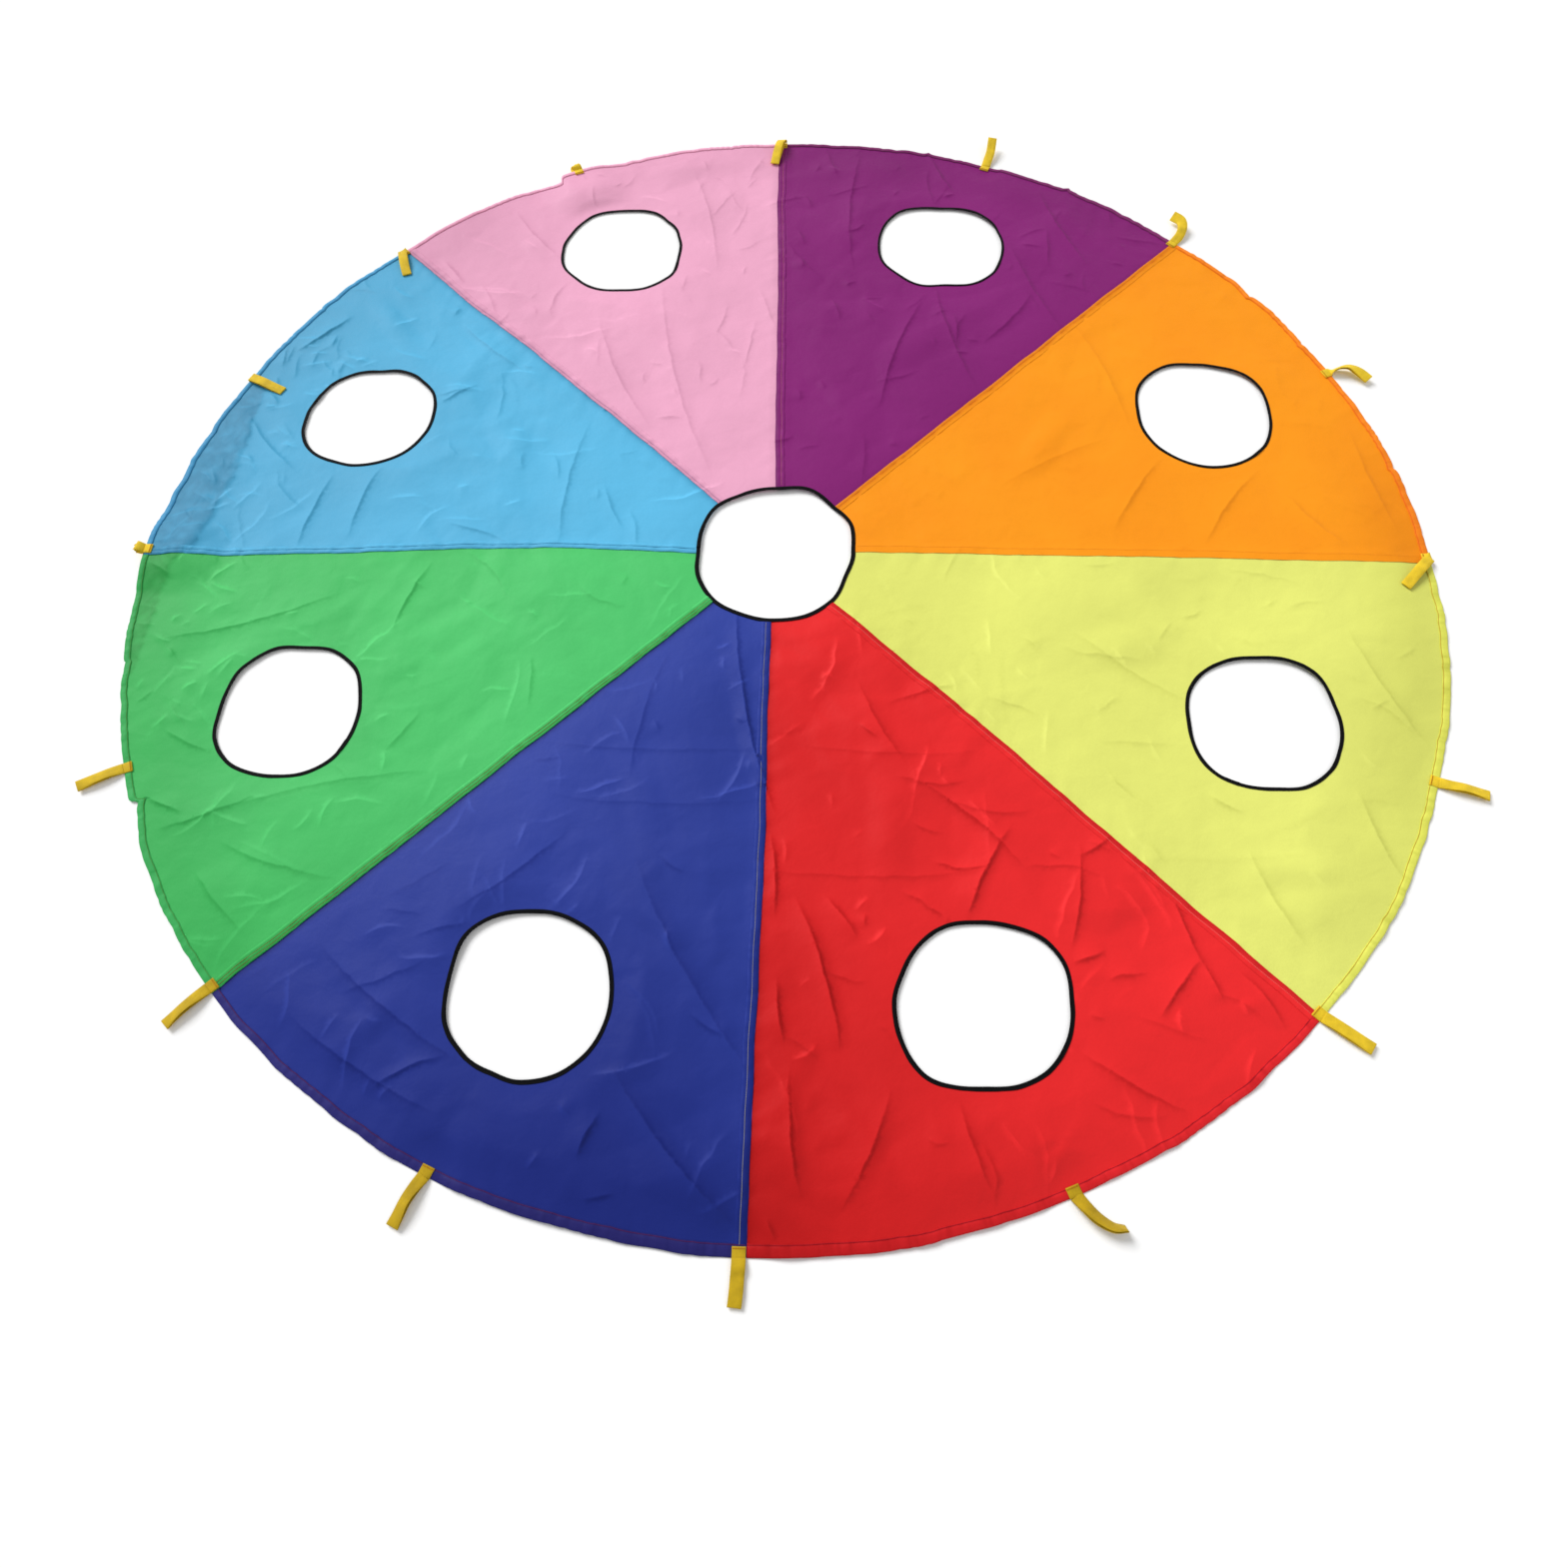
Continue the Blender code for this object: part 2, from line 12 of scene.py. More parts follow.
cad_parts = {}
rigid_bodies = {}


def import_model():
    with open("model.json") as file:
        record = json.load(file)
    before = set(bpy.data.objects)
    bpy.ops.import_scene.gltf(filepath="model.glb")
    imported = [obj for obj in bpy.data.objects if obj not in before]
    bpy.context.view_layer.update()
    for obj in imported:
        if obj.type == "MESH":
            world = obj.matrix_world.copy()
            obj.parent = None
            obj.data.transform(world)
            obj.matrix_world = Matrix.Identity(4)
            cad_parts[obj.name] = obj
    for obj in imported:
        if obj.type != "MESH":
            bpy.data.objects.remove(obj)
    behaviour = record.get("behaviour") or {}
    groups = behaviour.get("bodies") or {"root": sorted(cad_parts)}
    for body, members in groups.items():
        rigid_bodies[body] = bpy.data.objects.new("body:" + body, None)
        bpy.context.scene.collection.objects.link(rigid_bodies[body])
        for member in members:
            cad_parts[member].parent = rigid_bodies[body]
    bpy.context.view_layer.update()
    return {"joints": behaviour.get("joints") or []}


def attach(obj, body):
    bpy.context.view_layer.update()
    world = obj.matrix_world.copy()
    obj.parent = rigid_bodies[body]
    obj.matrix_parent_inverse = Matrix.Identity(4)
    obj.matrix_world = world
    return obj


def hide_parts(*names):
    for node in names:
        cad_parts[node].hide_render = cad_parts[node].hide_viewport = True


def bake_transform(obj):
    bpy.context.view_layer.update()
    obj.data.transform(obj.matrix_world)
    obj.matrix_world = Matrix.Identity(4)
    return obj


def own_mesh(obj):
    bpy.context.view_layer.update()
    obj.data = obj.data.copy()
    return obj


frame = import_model()

# Camera, fitted to the photograph's rim, seams and holes. Angles in degrees.
photo_size = 1569
sensor_mm = 36
lens_mm = 23.876
camera_place = np.array((0.1262, -1.5519, 2.0021))
camera_pitch = 64.565
camera_roll = -3.949
camera_yaw = 5.154

# Sizes repeated from the part's source, but for rim_lift and fold_height, which are lower
panel_names = ("orange", "purple", "pink", "sky_blue", "green", "blue", "red", "yellow")
panel_count = len(panel_names)
gore_angle = 2 * math.pi / panel_count
rim_radius = 3.05 / 2
seam_width = 0.022
under_lap = 0.004
panel_hole_radius = 0.334 / 2
panel_hole_place = 1.16
centre_hole_radius = 0.382 / 2
tape_seat = 0.0008
seat_width = 0.014
seat_fade = 0.055
rim_lift = 0.002
rim_lift_reach = 0.30
handle_flat = 0.030
tuck_lift = 0.016
tuck_reach = 0.14
fold_height = 0.006
fold_length = 0.34
fold_width = 0.13
webbing_width = 0.025
seam_offset = 0.0135
loop_length = 0.090
handle_count = 16
handle_angle = 2 * math.pi / handle_count
fold_angle = math.pi / 4
tucked_handles = (5, 8)
folding_panels = ("purple", "pink", "sky_blue", "green")
fold_seams = (1, 5)
fold_room = 0.0014  # how high the cloth may stand on the fold line, so that it folds flat
fold_room_slope = 0.08  # and how fast that grows away from the line

# Sizes of the visible cloth, its hem, tape and thread
floor_height = -0.0009  # the floor lies just under the thinnest parts
strip_reach = 0.008  # half the width of the cloth under a seam on the fold line
high_cloth = 0.018  # above this height the cloth's relief is held down
edge_inset = 0.0015  # how far inside the rim the cloth ends, within the hem's fold
cloth_spacing = 0.0085  # between the points of the cloth's mesh
crisp_side = 0.0026  # how far beside its crest a crease drops off sharply
hole_border = 0.020  # how wide the cloth's rows of points run round a hole
crease_reach = 3.2  # how far a crease's gentle side runs, in its widths
gore_creases = 64  # small ones on each gore
rim_creases = 80  # and along the rim on the left
least_lift = 0.0009  # lower creases get no points of their own
webbing_thickness = 0.00125
least_height = 0.0002  # of the loops above the floor
tape_overlap = 0.16  # how far a tape's tail runs over its start, in radians
lap_rise = 0.0011  # and how far it rises there
stitch_pitch = 0.0034  # of the hem's and the seams' stitches
stitch_radius = 0.0006
hem_stitch_height = 0.0019  # above the laid cloth
band_step = 0.0008  # how far a gore rises under its folded band
shade_power = 2.2  # turns a tone as the photograph shows it into a share of light

far = 9  # metres, farther than any point of the cloth
field_reach = 1.66  # half the side of the grid of the cloth's facets
field_step = 0.003  # and its spacing
key_place = (-0.62, 0.66, 0.66)  # where the key light stands
sky_strength = 0.43  # of the background on the cloth, where the camera sees it at 1

# Each hole's outline in shares of its radius and the height of its edge in millimetres, both
# in eight directions from +X, then how far the edge strays from that outline, in millimetres,
# in 16 directions
holes = {
    "orange": (
        (0.97, 1.06, 1.01, 1.07, 0.98, 0.99, 1.03, 1.02),
        (2, 5, 3, 1, 0, 0, 1, 1),
        (-2, -2, -4, -8, -4, 2, -2, 0, -2, 0, 2, 2, 2, 2, 0, -2),
    ),
    "purple": (
        (0.98, 1.03, 0.98, 1.14, 1.10, 1.04, 0.95, 1.03),
        (3, 5, 2, 1, 0, 0, 1, 2),
        (-3, -8, -12, -12, -12, -10, -5, -3, -2, 4, 0, 6, 0, 4, 0, -4),
    ),
    "pink": (
        (0.87, 0.95, 0.97, 1.11, 1.12, 1.11, 1.05, 1.02),
        (2, 2, 1, 0, 0, 0, 1, 2),
        (-1, -8, -12, -4, -6, -8, -6, -6, 0, 6, -2, 0, -4, 0, 0, -6),
    ),
    "sky_blue": (
        (1.02, 1.00, 0.93, 0.96, 0.95, 1.02, 0.98, 0.99),
        (2, 3, 1, 0, 1, 1, 0, 0),
        (2, 6, 0, 0, -6, -4, -5, -8, -2, 3, 2, 0, 6, 6, 9, 6),
    ),
    "green": (
        (0.94, 1.02, 1.03, 1.05, 0.95, 0.98, 0.93, 0.97),
        (2, 1, 1, 2, 1, 0, 0, 1),
        (0, -4, 0, 3, -3, 5, 0, -3, -2, 3, 0, -2, 0, 3, 3, 0),
    ),
    "blue": (
        (0.95, 1.03, 1.05, 1.14, 1.00, 0.98, 0.95, 0.97),
        (1, 1, 1, 3, 2, 0, 0, 0),
        (0, -3, -3, -5, -4, -3, -3, -7, -3, 0, -4, -6, 2, 2, 0, 0),
    ),
    "red": (
        (0.96, 1.07, 1.00, 1.05, 1.05, 1.08, 0.94, 0.96),
        (1, 2, 1, 1, 2, 1, 0, 0),
        (0, 2, -2, -5, -2, 0, -4, -6, 0, 0, 0, -4, -4, -2, 0, 0),
    ),
    "yellow": (
        (0.97, 1.08, 0.99, 1.00, 0.95, 1.02, 0.96, 0.97),
        (2, 6, 3, 0, 0, 0, 1, 1),
        (-2, -8, -5, -3, -5, -4, -2, 0, -2, 0, 0, -2, -3, 3, 2, -2),
    ),
    "centre": (
        (0.96, 1.07, 1.05, 1.04, 0.96, 0.97, 0.96, 1.00),
        (3, 7, 6, 2, 2, 1, 0, 1),
        (2, 4, -8, 4, -8, -7, 0, -4, -5, 2, 3, 0, 3, 4, 0, -7),
    ),
}
# How wide each hole's tape shows, in millimetres
tape_widths = {
    "orange": 7.6, "purple": 6.8, "pink": 7.6, "sky_blue": 8.4, "green": 8.6,
    "blue": 9.0, "red": 9.0, "yellow": 8.6, "centre": 10.0,
}  # fmt: skip
# Where in its turn each hole's tape starts, in radians, where it isn't the usual place
tape_starts = {"orange": -0.9, "yellow": -2.2, "centre": 2.9, "blue": 2.5, "sky_blue": 2.7}
rim_lift_shares = (0.9, 0.4, 0.7, 0.9, 0.5, 0.8, 1.0, 0.6, 0.5, 0.9, 0.6, 0.4, 0.7, 0.5, 0.8, 0.6)
fold_shares = (
    ("orange", 0.50, 0.25, 35, 1.0, 0.8, 0.7),
    ("purple", 0.50, -0.20, -30, 1.0, 1.0, 0.8),
    ("pink", 0.52, 0.15, 20, 1.1, 1.0, 0.7),
    ("sky_blue", 0.50, -0.20, -40, 1.0, 0.9, 0.9),
    ("green", 0.52, -0.25, 15, 1.0, 0.9, 0.8),
    ("blue", 0.46, 0.05, 40, 0.9, 0.8, 0.8),
    ("red", 0.50, -0.10, -25, 1.1, 0.9, 1.0),
    ("yellow", 0.54, 0.20, 30, 1.0, 1.0, 0.7),
    ("red", 0.88, -0.62, 12, 0.9, 0.6, 0.9),
    ("blue", 0.90, -0.50, -20, 0.8, 0.7, 0.8),
    ("yellow", 0.88, -0.58, 25, 0.8, 0.7, 0.7),
    ("sky_blue", 0.86, -0.60, -30, 0.8, 0.7, 0.8),
)

# Creases seen in the photograph: two ends in its pixels, then height and width in
# millimetres. A wide one is a soft fold, and a narrow one a sharp crease.
seen_creases = (
    (618, 1087, 721, 1218, 7, 34), (597, 1118, 578, 1157, 3, 16), (585, 1202, 612, 1198, 2, 12),
    (734, 613, 763, 795, 5, 12), (630, 766, 664, 661, 2, 20), (535, 744, 760, 752, 0.7, 8),
    (560, 800, 745, 806, 0.6, 8), (470, 905, 560, 842, 3, 30), (640, 880, 735, 1060, 3, 40),
    (330, 960, 450, 1060, 3, 30), (300, 1030, 420, 1110, 3, 26), (428, 570, 396, 624, 3, 14),
    (533, 661, 530, 704, 2, 10), (380, 701, 468, 674, 0.6, 12), (180, 640, 330, 600, 2.5, 22),
    (170, 735, 216, 755, 2.5, 14), (140, 802, 180, 812, 4, 12), (165, 830, 250, 800, 2.5, 16),
    (230, 850, 330, 880, 2.5, 18), (200, 880, 240, 930, 2.5, 16), (250, 800, 420, 770, 2, 26),
    (584, 433, 557, 538, 2.5, 18), (605, 490, 621, 527, 2.5, 12), (455, 527, 505, 545, 2, 12),
    (304, 350, 350, 323, 5, 14), (288, 349, 284, 366, 4, 12), (440, 405, 476, 388, 3, 12),
    (330, 480, 300, 540, 3, 16), (380, 470, 350, 530, 3, 18), (250, 420, 290, 470, 3, 16),
    (470, 330, 520, 370, 2.5, 16), (449, 262, 468, 281, 2.5, 12), (600, 330, 640, 420, 2.5, 24),
    (660, 300, 700, 460, 2.5, 26), (520, 220, 560, 260, 2.5, 18), (700, 180, 720, 260, 2, 20),
    (931, 160, 951, 191, 3, 12), (915, 310, 880, 397, 3, 14), (935, 294, 970, 381, 3, 14),
    (860, 160, 850, 260, 2.5, 14), (990, 340, 1030, 300, 3, 16), (1040, 200, 1080, 260, 3, 18),
    (1010, 250, 1060, 330, 2.5, 20), (865, 440, 862, 490, 2, 12), (1156, 464, 1117, 523, 3, 16),
    (1251, 476, 1208, 535, 3, 16), (1290, 500, 1340, 540, 2.5, 16), (1010, 480, 1100, 440, 2, 30),
    (1080, 330, 1130, 420, 2, 26), (1350, 440, 1390, 520, 2.5, 20), (1142, 862, 1337, 853, 0.7, 9),
    (1001, 657, 1004, 731, 0.7, 10), (1212, 798, 1240, 812, 2.5, 10),
    (1080, 640, 1180, 700, 2.5, 30), (1350, 640, 1420, 740, 3, 24), (1360, 800, 1400, 880, 3, 18),
    (1250, 860, 1300, 940, 2.5, 22), (934, 790, 1019, 860, 4, 22), (1004, 835, 967, 916, 5, 18),
    (1082, 857, 1075, 942, 4, 18), (1082, 857, 1112, 838, 3, 12), (804, 912, 840, 1034, 8, 20),
    (775, 986, 782, 1038, 5, 14), (830, 901, 856, 935, 4, 14), (1174, 901, 1200, 960, 5, 16),
    (1200, 960, 1222, 998, 4, 16), (1163, 1012, 1197, 964, 4, 16), (1245, 975, 1285, 1023, 4, 14),
    (1075, 964, 1104, 953, 3, 12), (775, 875, 982, 875, 0.8, 8), (815, 750, 968, 757, 0.6, 8),
    (771, 842, 775, 909, 4, 12), (787, 1080, 797, 1187, 5, 22), (890, 1100, 850, 1200, 4, 26),
    (960, 1110, 990, 1190, 3, 22), (1090, 1060, 1180, 1110, 3, 22), (860, 690, 900, 760, 3, 26),
    (768, 1222, 776, 1240, 3, 10),
)  # fmt: skip

# How far the rim stands out, in millimetres, from 0 degrees on in 32 even steps. Every
# second place is a handle, where the rim stays at its own radius.
rim_bulges = (
    0, 3, 0, 5, 0, 2, 0, -4, 0, 5, 0, 8, 0, 4, 0, -2,
    0, -2, 0, 0, 0, -3, 0, -4, 0, 2, 0, 3, 0, 6, 0, 4,
)  # fmt: skip
# Where the hem is caught and the rim jogs inward, or outward where the depth is negative:
# angle in degrees, then in millimetres how far it takes to come back on the anticlockwise
# side and on the other, and the depth
rim_jogs = (
    (116.4, 60, 4, 36),
    (206.2, 55, 4, 20),
    (74.3, 9, 9, -9),
    (66.0, 12, 14, -15),
    (58.2, 12, 16, -11),
    (34.5, 30, 6, 8),
    (26.8, 6, 26, 8),
    (147, 26, 5, 6),
    (96, 22, 5, 4),
    (192, 24, 5, 5),
    (10, 20, 5, 5),
)
# How far each seam strays anticlockwise of its straight line, in millimetres, at these
# distances from the centre. The seams on the fold line stay straight.
drift_radii = (0.2, 0.45, 0.7, 0.95, 1.2, 1.5)
seam_drift_fade = math.radians(12.5)  # and how far beside the seam that fades out
seam_drifts = (
    (5, 4, -2, -4, -11, -17),
    (0, 0, 0, 0, 0, 0),
    (2, 10, 14, 18, 28, 32),
    (-7, -8, -3, 0, 14, 12),
    (0, -15, -13, 0, 8, 20),
    (0, 0, 0, 0, 0, 0),
    (0, 0, 6, 3, 1, 0),
    (2, 5, 8, 1, 0, -2),
)
# How far handles lie anticlockwise of their even places, in millimetres
handle_slips = (-18, 0, 12, 6, 34, 44, 36, 10, 16, 4, 0, -12, 0, 0, 12, 0)
# How strongly the rim is scalloped, in millimetres, in eight directions from 22.5 degrees
scallop_depths = (1.4, 1.2, 1.0, 1.1, 0.7, 0.5, 0.5, 0.8)
# How crinkled each gore's cloth is
crinkle_strengths = (0.30, 1.0, 0.6, 0.75, 0.8, 1.3, 1.25, 0.5)
# How much darker the cloth is painted along the rim, as painted shade, in 16 directions from +X
rim_painted_shades = (
    0.12, 0.01, 0.02, 0.08, 0.08, 0.05, 0.08, 0.15, 0.16, 0.14, 0.12, 0.05, 0.09, 0.03, 0.01, 0.11,
)  # fmt: skip
# How far inside the rim the hem is sewn, in millimetres, in 16 directions from +X
hem_insets = (15, 13, 12, 11, 11, 11, 11, 12, 13, 14, 14, 17, 21, 16, 14, 16)
# The inner edge of the crumpled cloth by the left rim, in the photograph's pixels
crumpled_edge = (
    (256, 376), (266, 392), (262, 404), (252, 424), (247, 446), (238, 470), (222, 500), (214, 520),
    (200, 548), (178, 560), (160, 600), (143, 647), (131, 676),
)  # fmt: skip

# Colours, as the photograph shows them in sRGB: each gore's cloth, hem and hem thread
gore_colours = {
    "orange": ((255, 151, 26), (255, 139, 34), (240, 112, 32)),
    "purple": ((130, 33, 112), (130, 49, 106), (104, 38, 88)),
    "pink": ((234, 167, 197), (255, 182, 210), (240, 156, 186)),
    "sky_blue": ((91, 183, 225), (88, 178, 226), (66, 138, 188)),
    "green": ((82, 201, 112), (76, 190, 108), (88, 154, 74)),
    "blue": ((51, 69, 158), (62, 60, 134), (98, 34, 84)),
    "red": ((232, 43, 45), (220, 38, 43), (160, 24, 40)),
    "yellow": ((224, 228, 115), (228, 230, 100), (206, 166, 60)),
}
panel_colours, hem_colours, hem_thread_colours = (
    {name: colours[i] for name, colours in gore_colours.items()} for i in range(3)
)
seam_thread_colours = (
    (253, 152, 38),
    (222, 112, 30),
    (188, 110, 124),
    (184, 140, 178),
    (58, 138, 178),
    (124, 130, 66),
    (158, 154, 148),
    (246, 112, 106),
)
webbing_colour = (236, 199, 40)
tack_colour = (190, 120, 30)
tape_colour = (8, 8, 10)
tape_thread_colour = (34, 33, 36)

# How bright each handle's webbing is painted, as painted light and shade: darker at the front,
# brighter at the back and sides
handle_painted_light = (
    1.2, 1.2, 1.14, 1.18, 1.15, 1.3, 1.02, 1.06, 1.2, 0.95, 0.76, 0.67, 0.75, 0.66, 1.06, 1.2,
)  # fmt: skip
# Where the tones beside a seam hold, in millimetres from it, then the tones of the folded band on
# one side of each seam, its doubled cloth and painted shade by the seam, and the painted shadow of
# that band on the gore that comes out from under it on the other
tone_steps = (1, 4, 8, 12, 16, 20)
band_doubling_and_shade = (
    (1, 1, 1, 1, 1, 1),
    (0.87, 0.87, 0.88, 0.93, 0.98, 1),
    (0.87, 0.87, 0.90, 1, 1, 0.98),
    (0.90, 0.90, 0.91, 0.96, 0.99, 1),
    (0.95, 0.96, 0.98, 1, 1, 1),
    (0.86, 0.86, 0.88, 0.92, 0.96, 1),
    (0.84, 0.84, 0.87, 0.95, 0.98, 1),
    (0.84, 0.93, 0.97, 1, 0.98, 0.98),
)
lap_painted_shadows = (
    (1, 1, 1, 1, 1, 1),
    (0.96, 1, 1, 1, 1, 1),
    (0.97, 0.98, 0.98, 0.98, 0.99, 1),
    (0.82, 0.88, 0.94, 0.97, 0.98, 0.99),
    (0.97, 0.97, 0.97, 0.98, 0.98, 0.99),
    (0.66, 0.80, 0.93, 0.97, 1, 1),
    (0.85, 0.90, 0.95, 0.97, 0.98, 0.99),
    (1, 1, 1, 1, 1, 1),
)

rng = np.random.RandomState(7)
noise_tables = {}
up_axis = np.array((0, 0, 1.0))


def ease(share):
    share = np.clip(share, 0, 1)
    return share * share * (3 - 2 * share)


def polar(radius, angle):
    """Rows of x and y at distances from the middle, in directions from +X."""
    return np.column_stack([radius * np.cos(angle), radius * np.sin(angle)])


def direction(angle):
    return np.array((math.cos(angle), math.sin(angle)))


def direction_of(x, y):
    """The directions of points from the middle, from 0 to a full turn."""
    return np.arctan2(y, x) % (2 * math.pi)


def unit(rows):
    return rows / np.maximum(np.linalg.norm(rows, axis=1), 1e-9)[:, None]


def run_of(line):
    """How far along a line each of its points is."""
    return np.concatenate([[0], np.cumsum(np.linalg.norm(np.diff(line, axis=0), axis=1))])


def linear(colour):
    """An sRGB colour from 0 to 255 as Blender's linear colour."""
    c = np.array(colour, float) / 255
    c = np.where(c <= 0.04045, c / 12.92, ((c + 0.055) / 1.055) ** 2.4)
    return (*c.tolist(), 1.0)


def noise(x, y, seed):
    """Smooth gradient noise, about -1 to 1, one bump for each unit of x and y."""
    if seed not in noise_tables:
        noise_tables[seed] = np.random.RandomState(seed).rand(128, 128) * 2 * math.pi
    table = noise_tables[seed]
    xi, yi = np.floor(x).astype(int), np.floor(y).astype(int)
    xf, yf = x - xi, y - yi
    u = xf**3 * (xf * (xf * 6 - 15) + 10)
    v = yf**3 * (yf * (yf * 6 - 15) + 10)
    corners = []
    for dx in (0, 1):
        for dy in (0, 1):
            angle = table[(xi + dx) % 128, (yi + dy) % 128]
            corners.append(np.cos(angle) * (xf - dx) + np.sin(angle) * (yf - dy))
    low = corners[0] * (1 - u) + corners[2] * u
    high = corners[1] * (1 - u) + corners[3] * u
    return (low * (1 - v) + high * v) * 1.5


def swell(x, y, length, seed):
    """Smooth noise with bumps of about a length in metres."""
    return noise(x / length, y / length, seed)


def line_noise(place, seed, row=0.5):
    """Smooth noise along a line, from one row of the noise over x and y."""
    return noise(place, np.full_like(place, row), seed)


def camera_axes():
    """The camera's directions forward, right and up."""
    pitch, roll, yaw = np.radians([camera_pitch, camera_roll, camera_yaw])
    forward = np.array((0, math.cos(pitch), -math.sin(pitch)))
    right = np.array((1.0, 0, 0))
    up = np.cross(right, forward)
    turn = np.array(Matrix.Rotation(yaw, 3, "Z"))
    forward, right, up = turn @ forward, turn @ right, turn @ up
    rolled = math.cos(roll) * right + math.sin(roll) * up
    return forward, rolled, math.cos(roll) * up - math.sin(roll) * right


def floor_point(px, py):
    """The point of the floor that the photograph shows at a pixel."""
    forward, right, up = camera_axes()
    focal = lens_mm / sensor_mm * photo_size
    ray = forward + (px - photo_size / 2) / focal * right
    ray -= (py - photo_size / 2) / focal * up
    return (camera_place - camera_place[2] / ray[2] * ray)[:2]


def by_direction(values, angle):
    """Values in even steps round the circle from +X, eased between them."""
    place = (angle % (2 * math.pi)) / (2 * math.pi) * len(values)
    index = np.floor(place).astype(int) % len(values)
    values = np.array(values, float)
    after = values[(index + 1) % len(values)]
    return values[index] + (after - values[index]) * ease(place - np.floor(place))


def gore_middle(panel):
    return (panel + 0.5) * gore_angle


def hole_centre(name):
    if name == "centre":
        return np.zeros(2)
    return panel_hole_place * direction(gore_middle(panel_names.index(name)))


def hole_radius(name, angle):
    """How far a hole's edge is from its centre, in directions from there."""
    radius = centre_hole_radius if name == "centre" else panel_hole_radius
    shares, _, strays = holes[name]
    return radius * by_direction(shares, angle) + 1e-3 * by_direction(strays, angle)


def hole_gap(name, x, y):
    """The distance from points to one hole's edge, and their directions from it."""
    cx, cy = hole_centre(name)
    angle = np.arctan2(y - cy, x - cx)
    return np.hypot(x - cx, y - cy) - hole_radius(name, angle), angle


def handle_place(index, slip=None):
    """A handle's root point on the rim, and its directions outward and along."""
    out = direction(index * handle_angle)
    across = np.array((-out[1], out[0]))
    shift = 1e-3 * handle_slips[index] if slip is None else slip
    if index % 2 == 0:
        shift += seam_offset if index == 0 else -seam_offset
    return rim_radius * out + shift * across, out, across


def flat_handle_place(index):
    """Where a handle's root is on the flat pattern, before the seams stray."""
    drift = seam_drifts[index // 2][-1] if index % 2 == 0 else 0
    return handle_place(index, 1e-3 * (handle_slips[index] - drift))


def seam_drift(radius, angle):
    """How far the cloth by each seam lies anticlockwise of its flat place."""
    place = (angle % (2 * math.pi)) / gore_angle
    seam = np.round(place).astype(int)
    off = np.abs(place - seam) * gore_angle
    reach = np.zeros_like(radius)
    for index, drifts in enumerate(seam_drifts):
        at = seam % panel_count == index
        reach[at] = 1e-3 * np.interp(radius[at], drift_radii, drifts)
    return reach * ease(1 - off / seam_drift_fade)


def laid_height(x, y):
    """How high the cloth's underside lies, with the lifts and soft folds that the CAD has."""
    radius = np.hypot(x, y)
    place = direction_of(x, y) / handle_angle
    sector = np.floor(place).astype(int) % handle_count
    flat = handle_flat / (rim_radius * handle_angle)
    share = np.clip((place - np.floor(place) - flat) / (1 - 2 * flat), 0, 1)
    reach = ease(1 - (rim_radius - radius) / rim_lift_reach)
    lifts = np.array(rim_lift_shares)[sector]
    height = rim_lift * lifts * np.sin(math.pi * share) ** 2 * reach
    tucked = np.zeros_like(x)
    for index in tucked_handles:
        root, out, along = flat_handle_place(index)
        dx, dy = x - root[0], y - root[1]
        side = np.abs(dx * along[0] + dy * along[1])
        deep = np.abs(dx * out[0] + dy * out[1])
        span = tuck_reach - webbing_width
        lift = ease(1 - (side - webbing_width) / span) * ease(1 - (deep - loop_length) / span)
        tucked = np.maximum(tucked, tuck_lift * lift)
    height = height + tucked
    for name, along, across, turn, length, width, share in fold_shares:
        middle = gore_middle(panel_names.index(name))
        at = middle + across * gore_angle / 2
        dx = x - along * rim_radius * math.cos(at)
        dy = y - along * rim_radius * math.sin(at)
        run = middle + math.radians(turn)
        u = (dx * math.cos(run) + dy * math.sin(run)) / (length * fold_length / 2)
        v = (dy * math.cos(run) - dx * math.sin(run)) / (width * fold_width / 2)
        bump = fold_height * share * (1 - u * u) ** 2 * (1 - v * v) ** 2
        height += np.where((np.abs(u) < 1) & (np.abs(v) < 1), bump, 0)
    nearest = np.full_like(x, far)
    for name in holes:
        nearest = np.minimum(nearest, hole_gap(name, x, y)[0])
    free = ease((nearest - seat_width) / (seat_fade - seat_width))
    return tape_seat * (1 - free) + free * height


def kinked(length, reach):
    """How far a crease strays aside at even steps along it, in metres."""
    return rng.uniform(-reach, reach, max(round(length / 0.02), 3))


def random_creases():
    """Small creases spread over every gore, denser along the rim on the left."""
    creases = []
    for panel in range(panel_count):
        for _ in range(gore_creases):
            radius = rim_radius * math.sqrt(rng.uniform(0.03, 0.98))
            at = gore_middle(panel) + rng.uniform(-0.48, 0.48) * gore_angle
            x, y = radius * math.cos(at), radius * math.sin(at)
            run = at + rng.choice((-1, 1)) * rng.uniform(0.1, 1.2)
            length = 0.03 + 0.17 * rng.uniform() ** 2
            height = rng.uniform(0.7, 2.8) * 1e-3 * crinkle_strengths[panel]
            width = rng.uniform(6, 18) * 1e-3
            bend = rng.uniform(-0.12, 0.12)
            creases.append((x, y, run, length, height, width, bend, kinked(length, 0.0035)))
    for _ in range(rim_creases):
        at = math.radians(rng.uniform(150, 200))
        radius = rng.uniform(1.26, 1.5)
        run = at + rng.uniform(-1.2, 1.2)
        length = rng.uniform(0.02, 0.10)
        height, width = rng.uniform(1.0, 2.6) * 1e-3, rng.uniform(5, 11) * 1e-3
        x, y = radius * math.cos(at), radius * math.sin(at)
        bend = rng.uniform(-0.1, 0.1)
        creases.append((x, y, run, length, height, width, bend, kinked(length, 0.003)))
    return creases


def crinkle_strength(x, y):
    """How crinkled the cloth is at points, eased between the middles of the gores."""
    return by_direction(crinkle_strengths, np.arctan2(y, x) - gore_angle / 2)


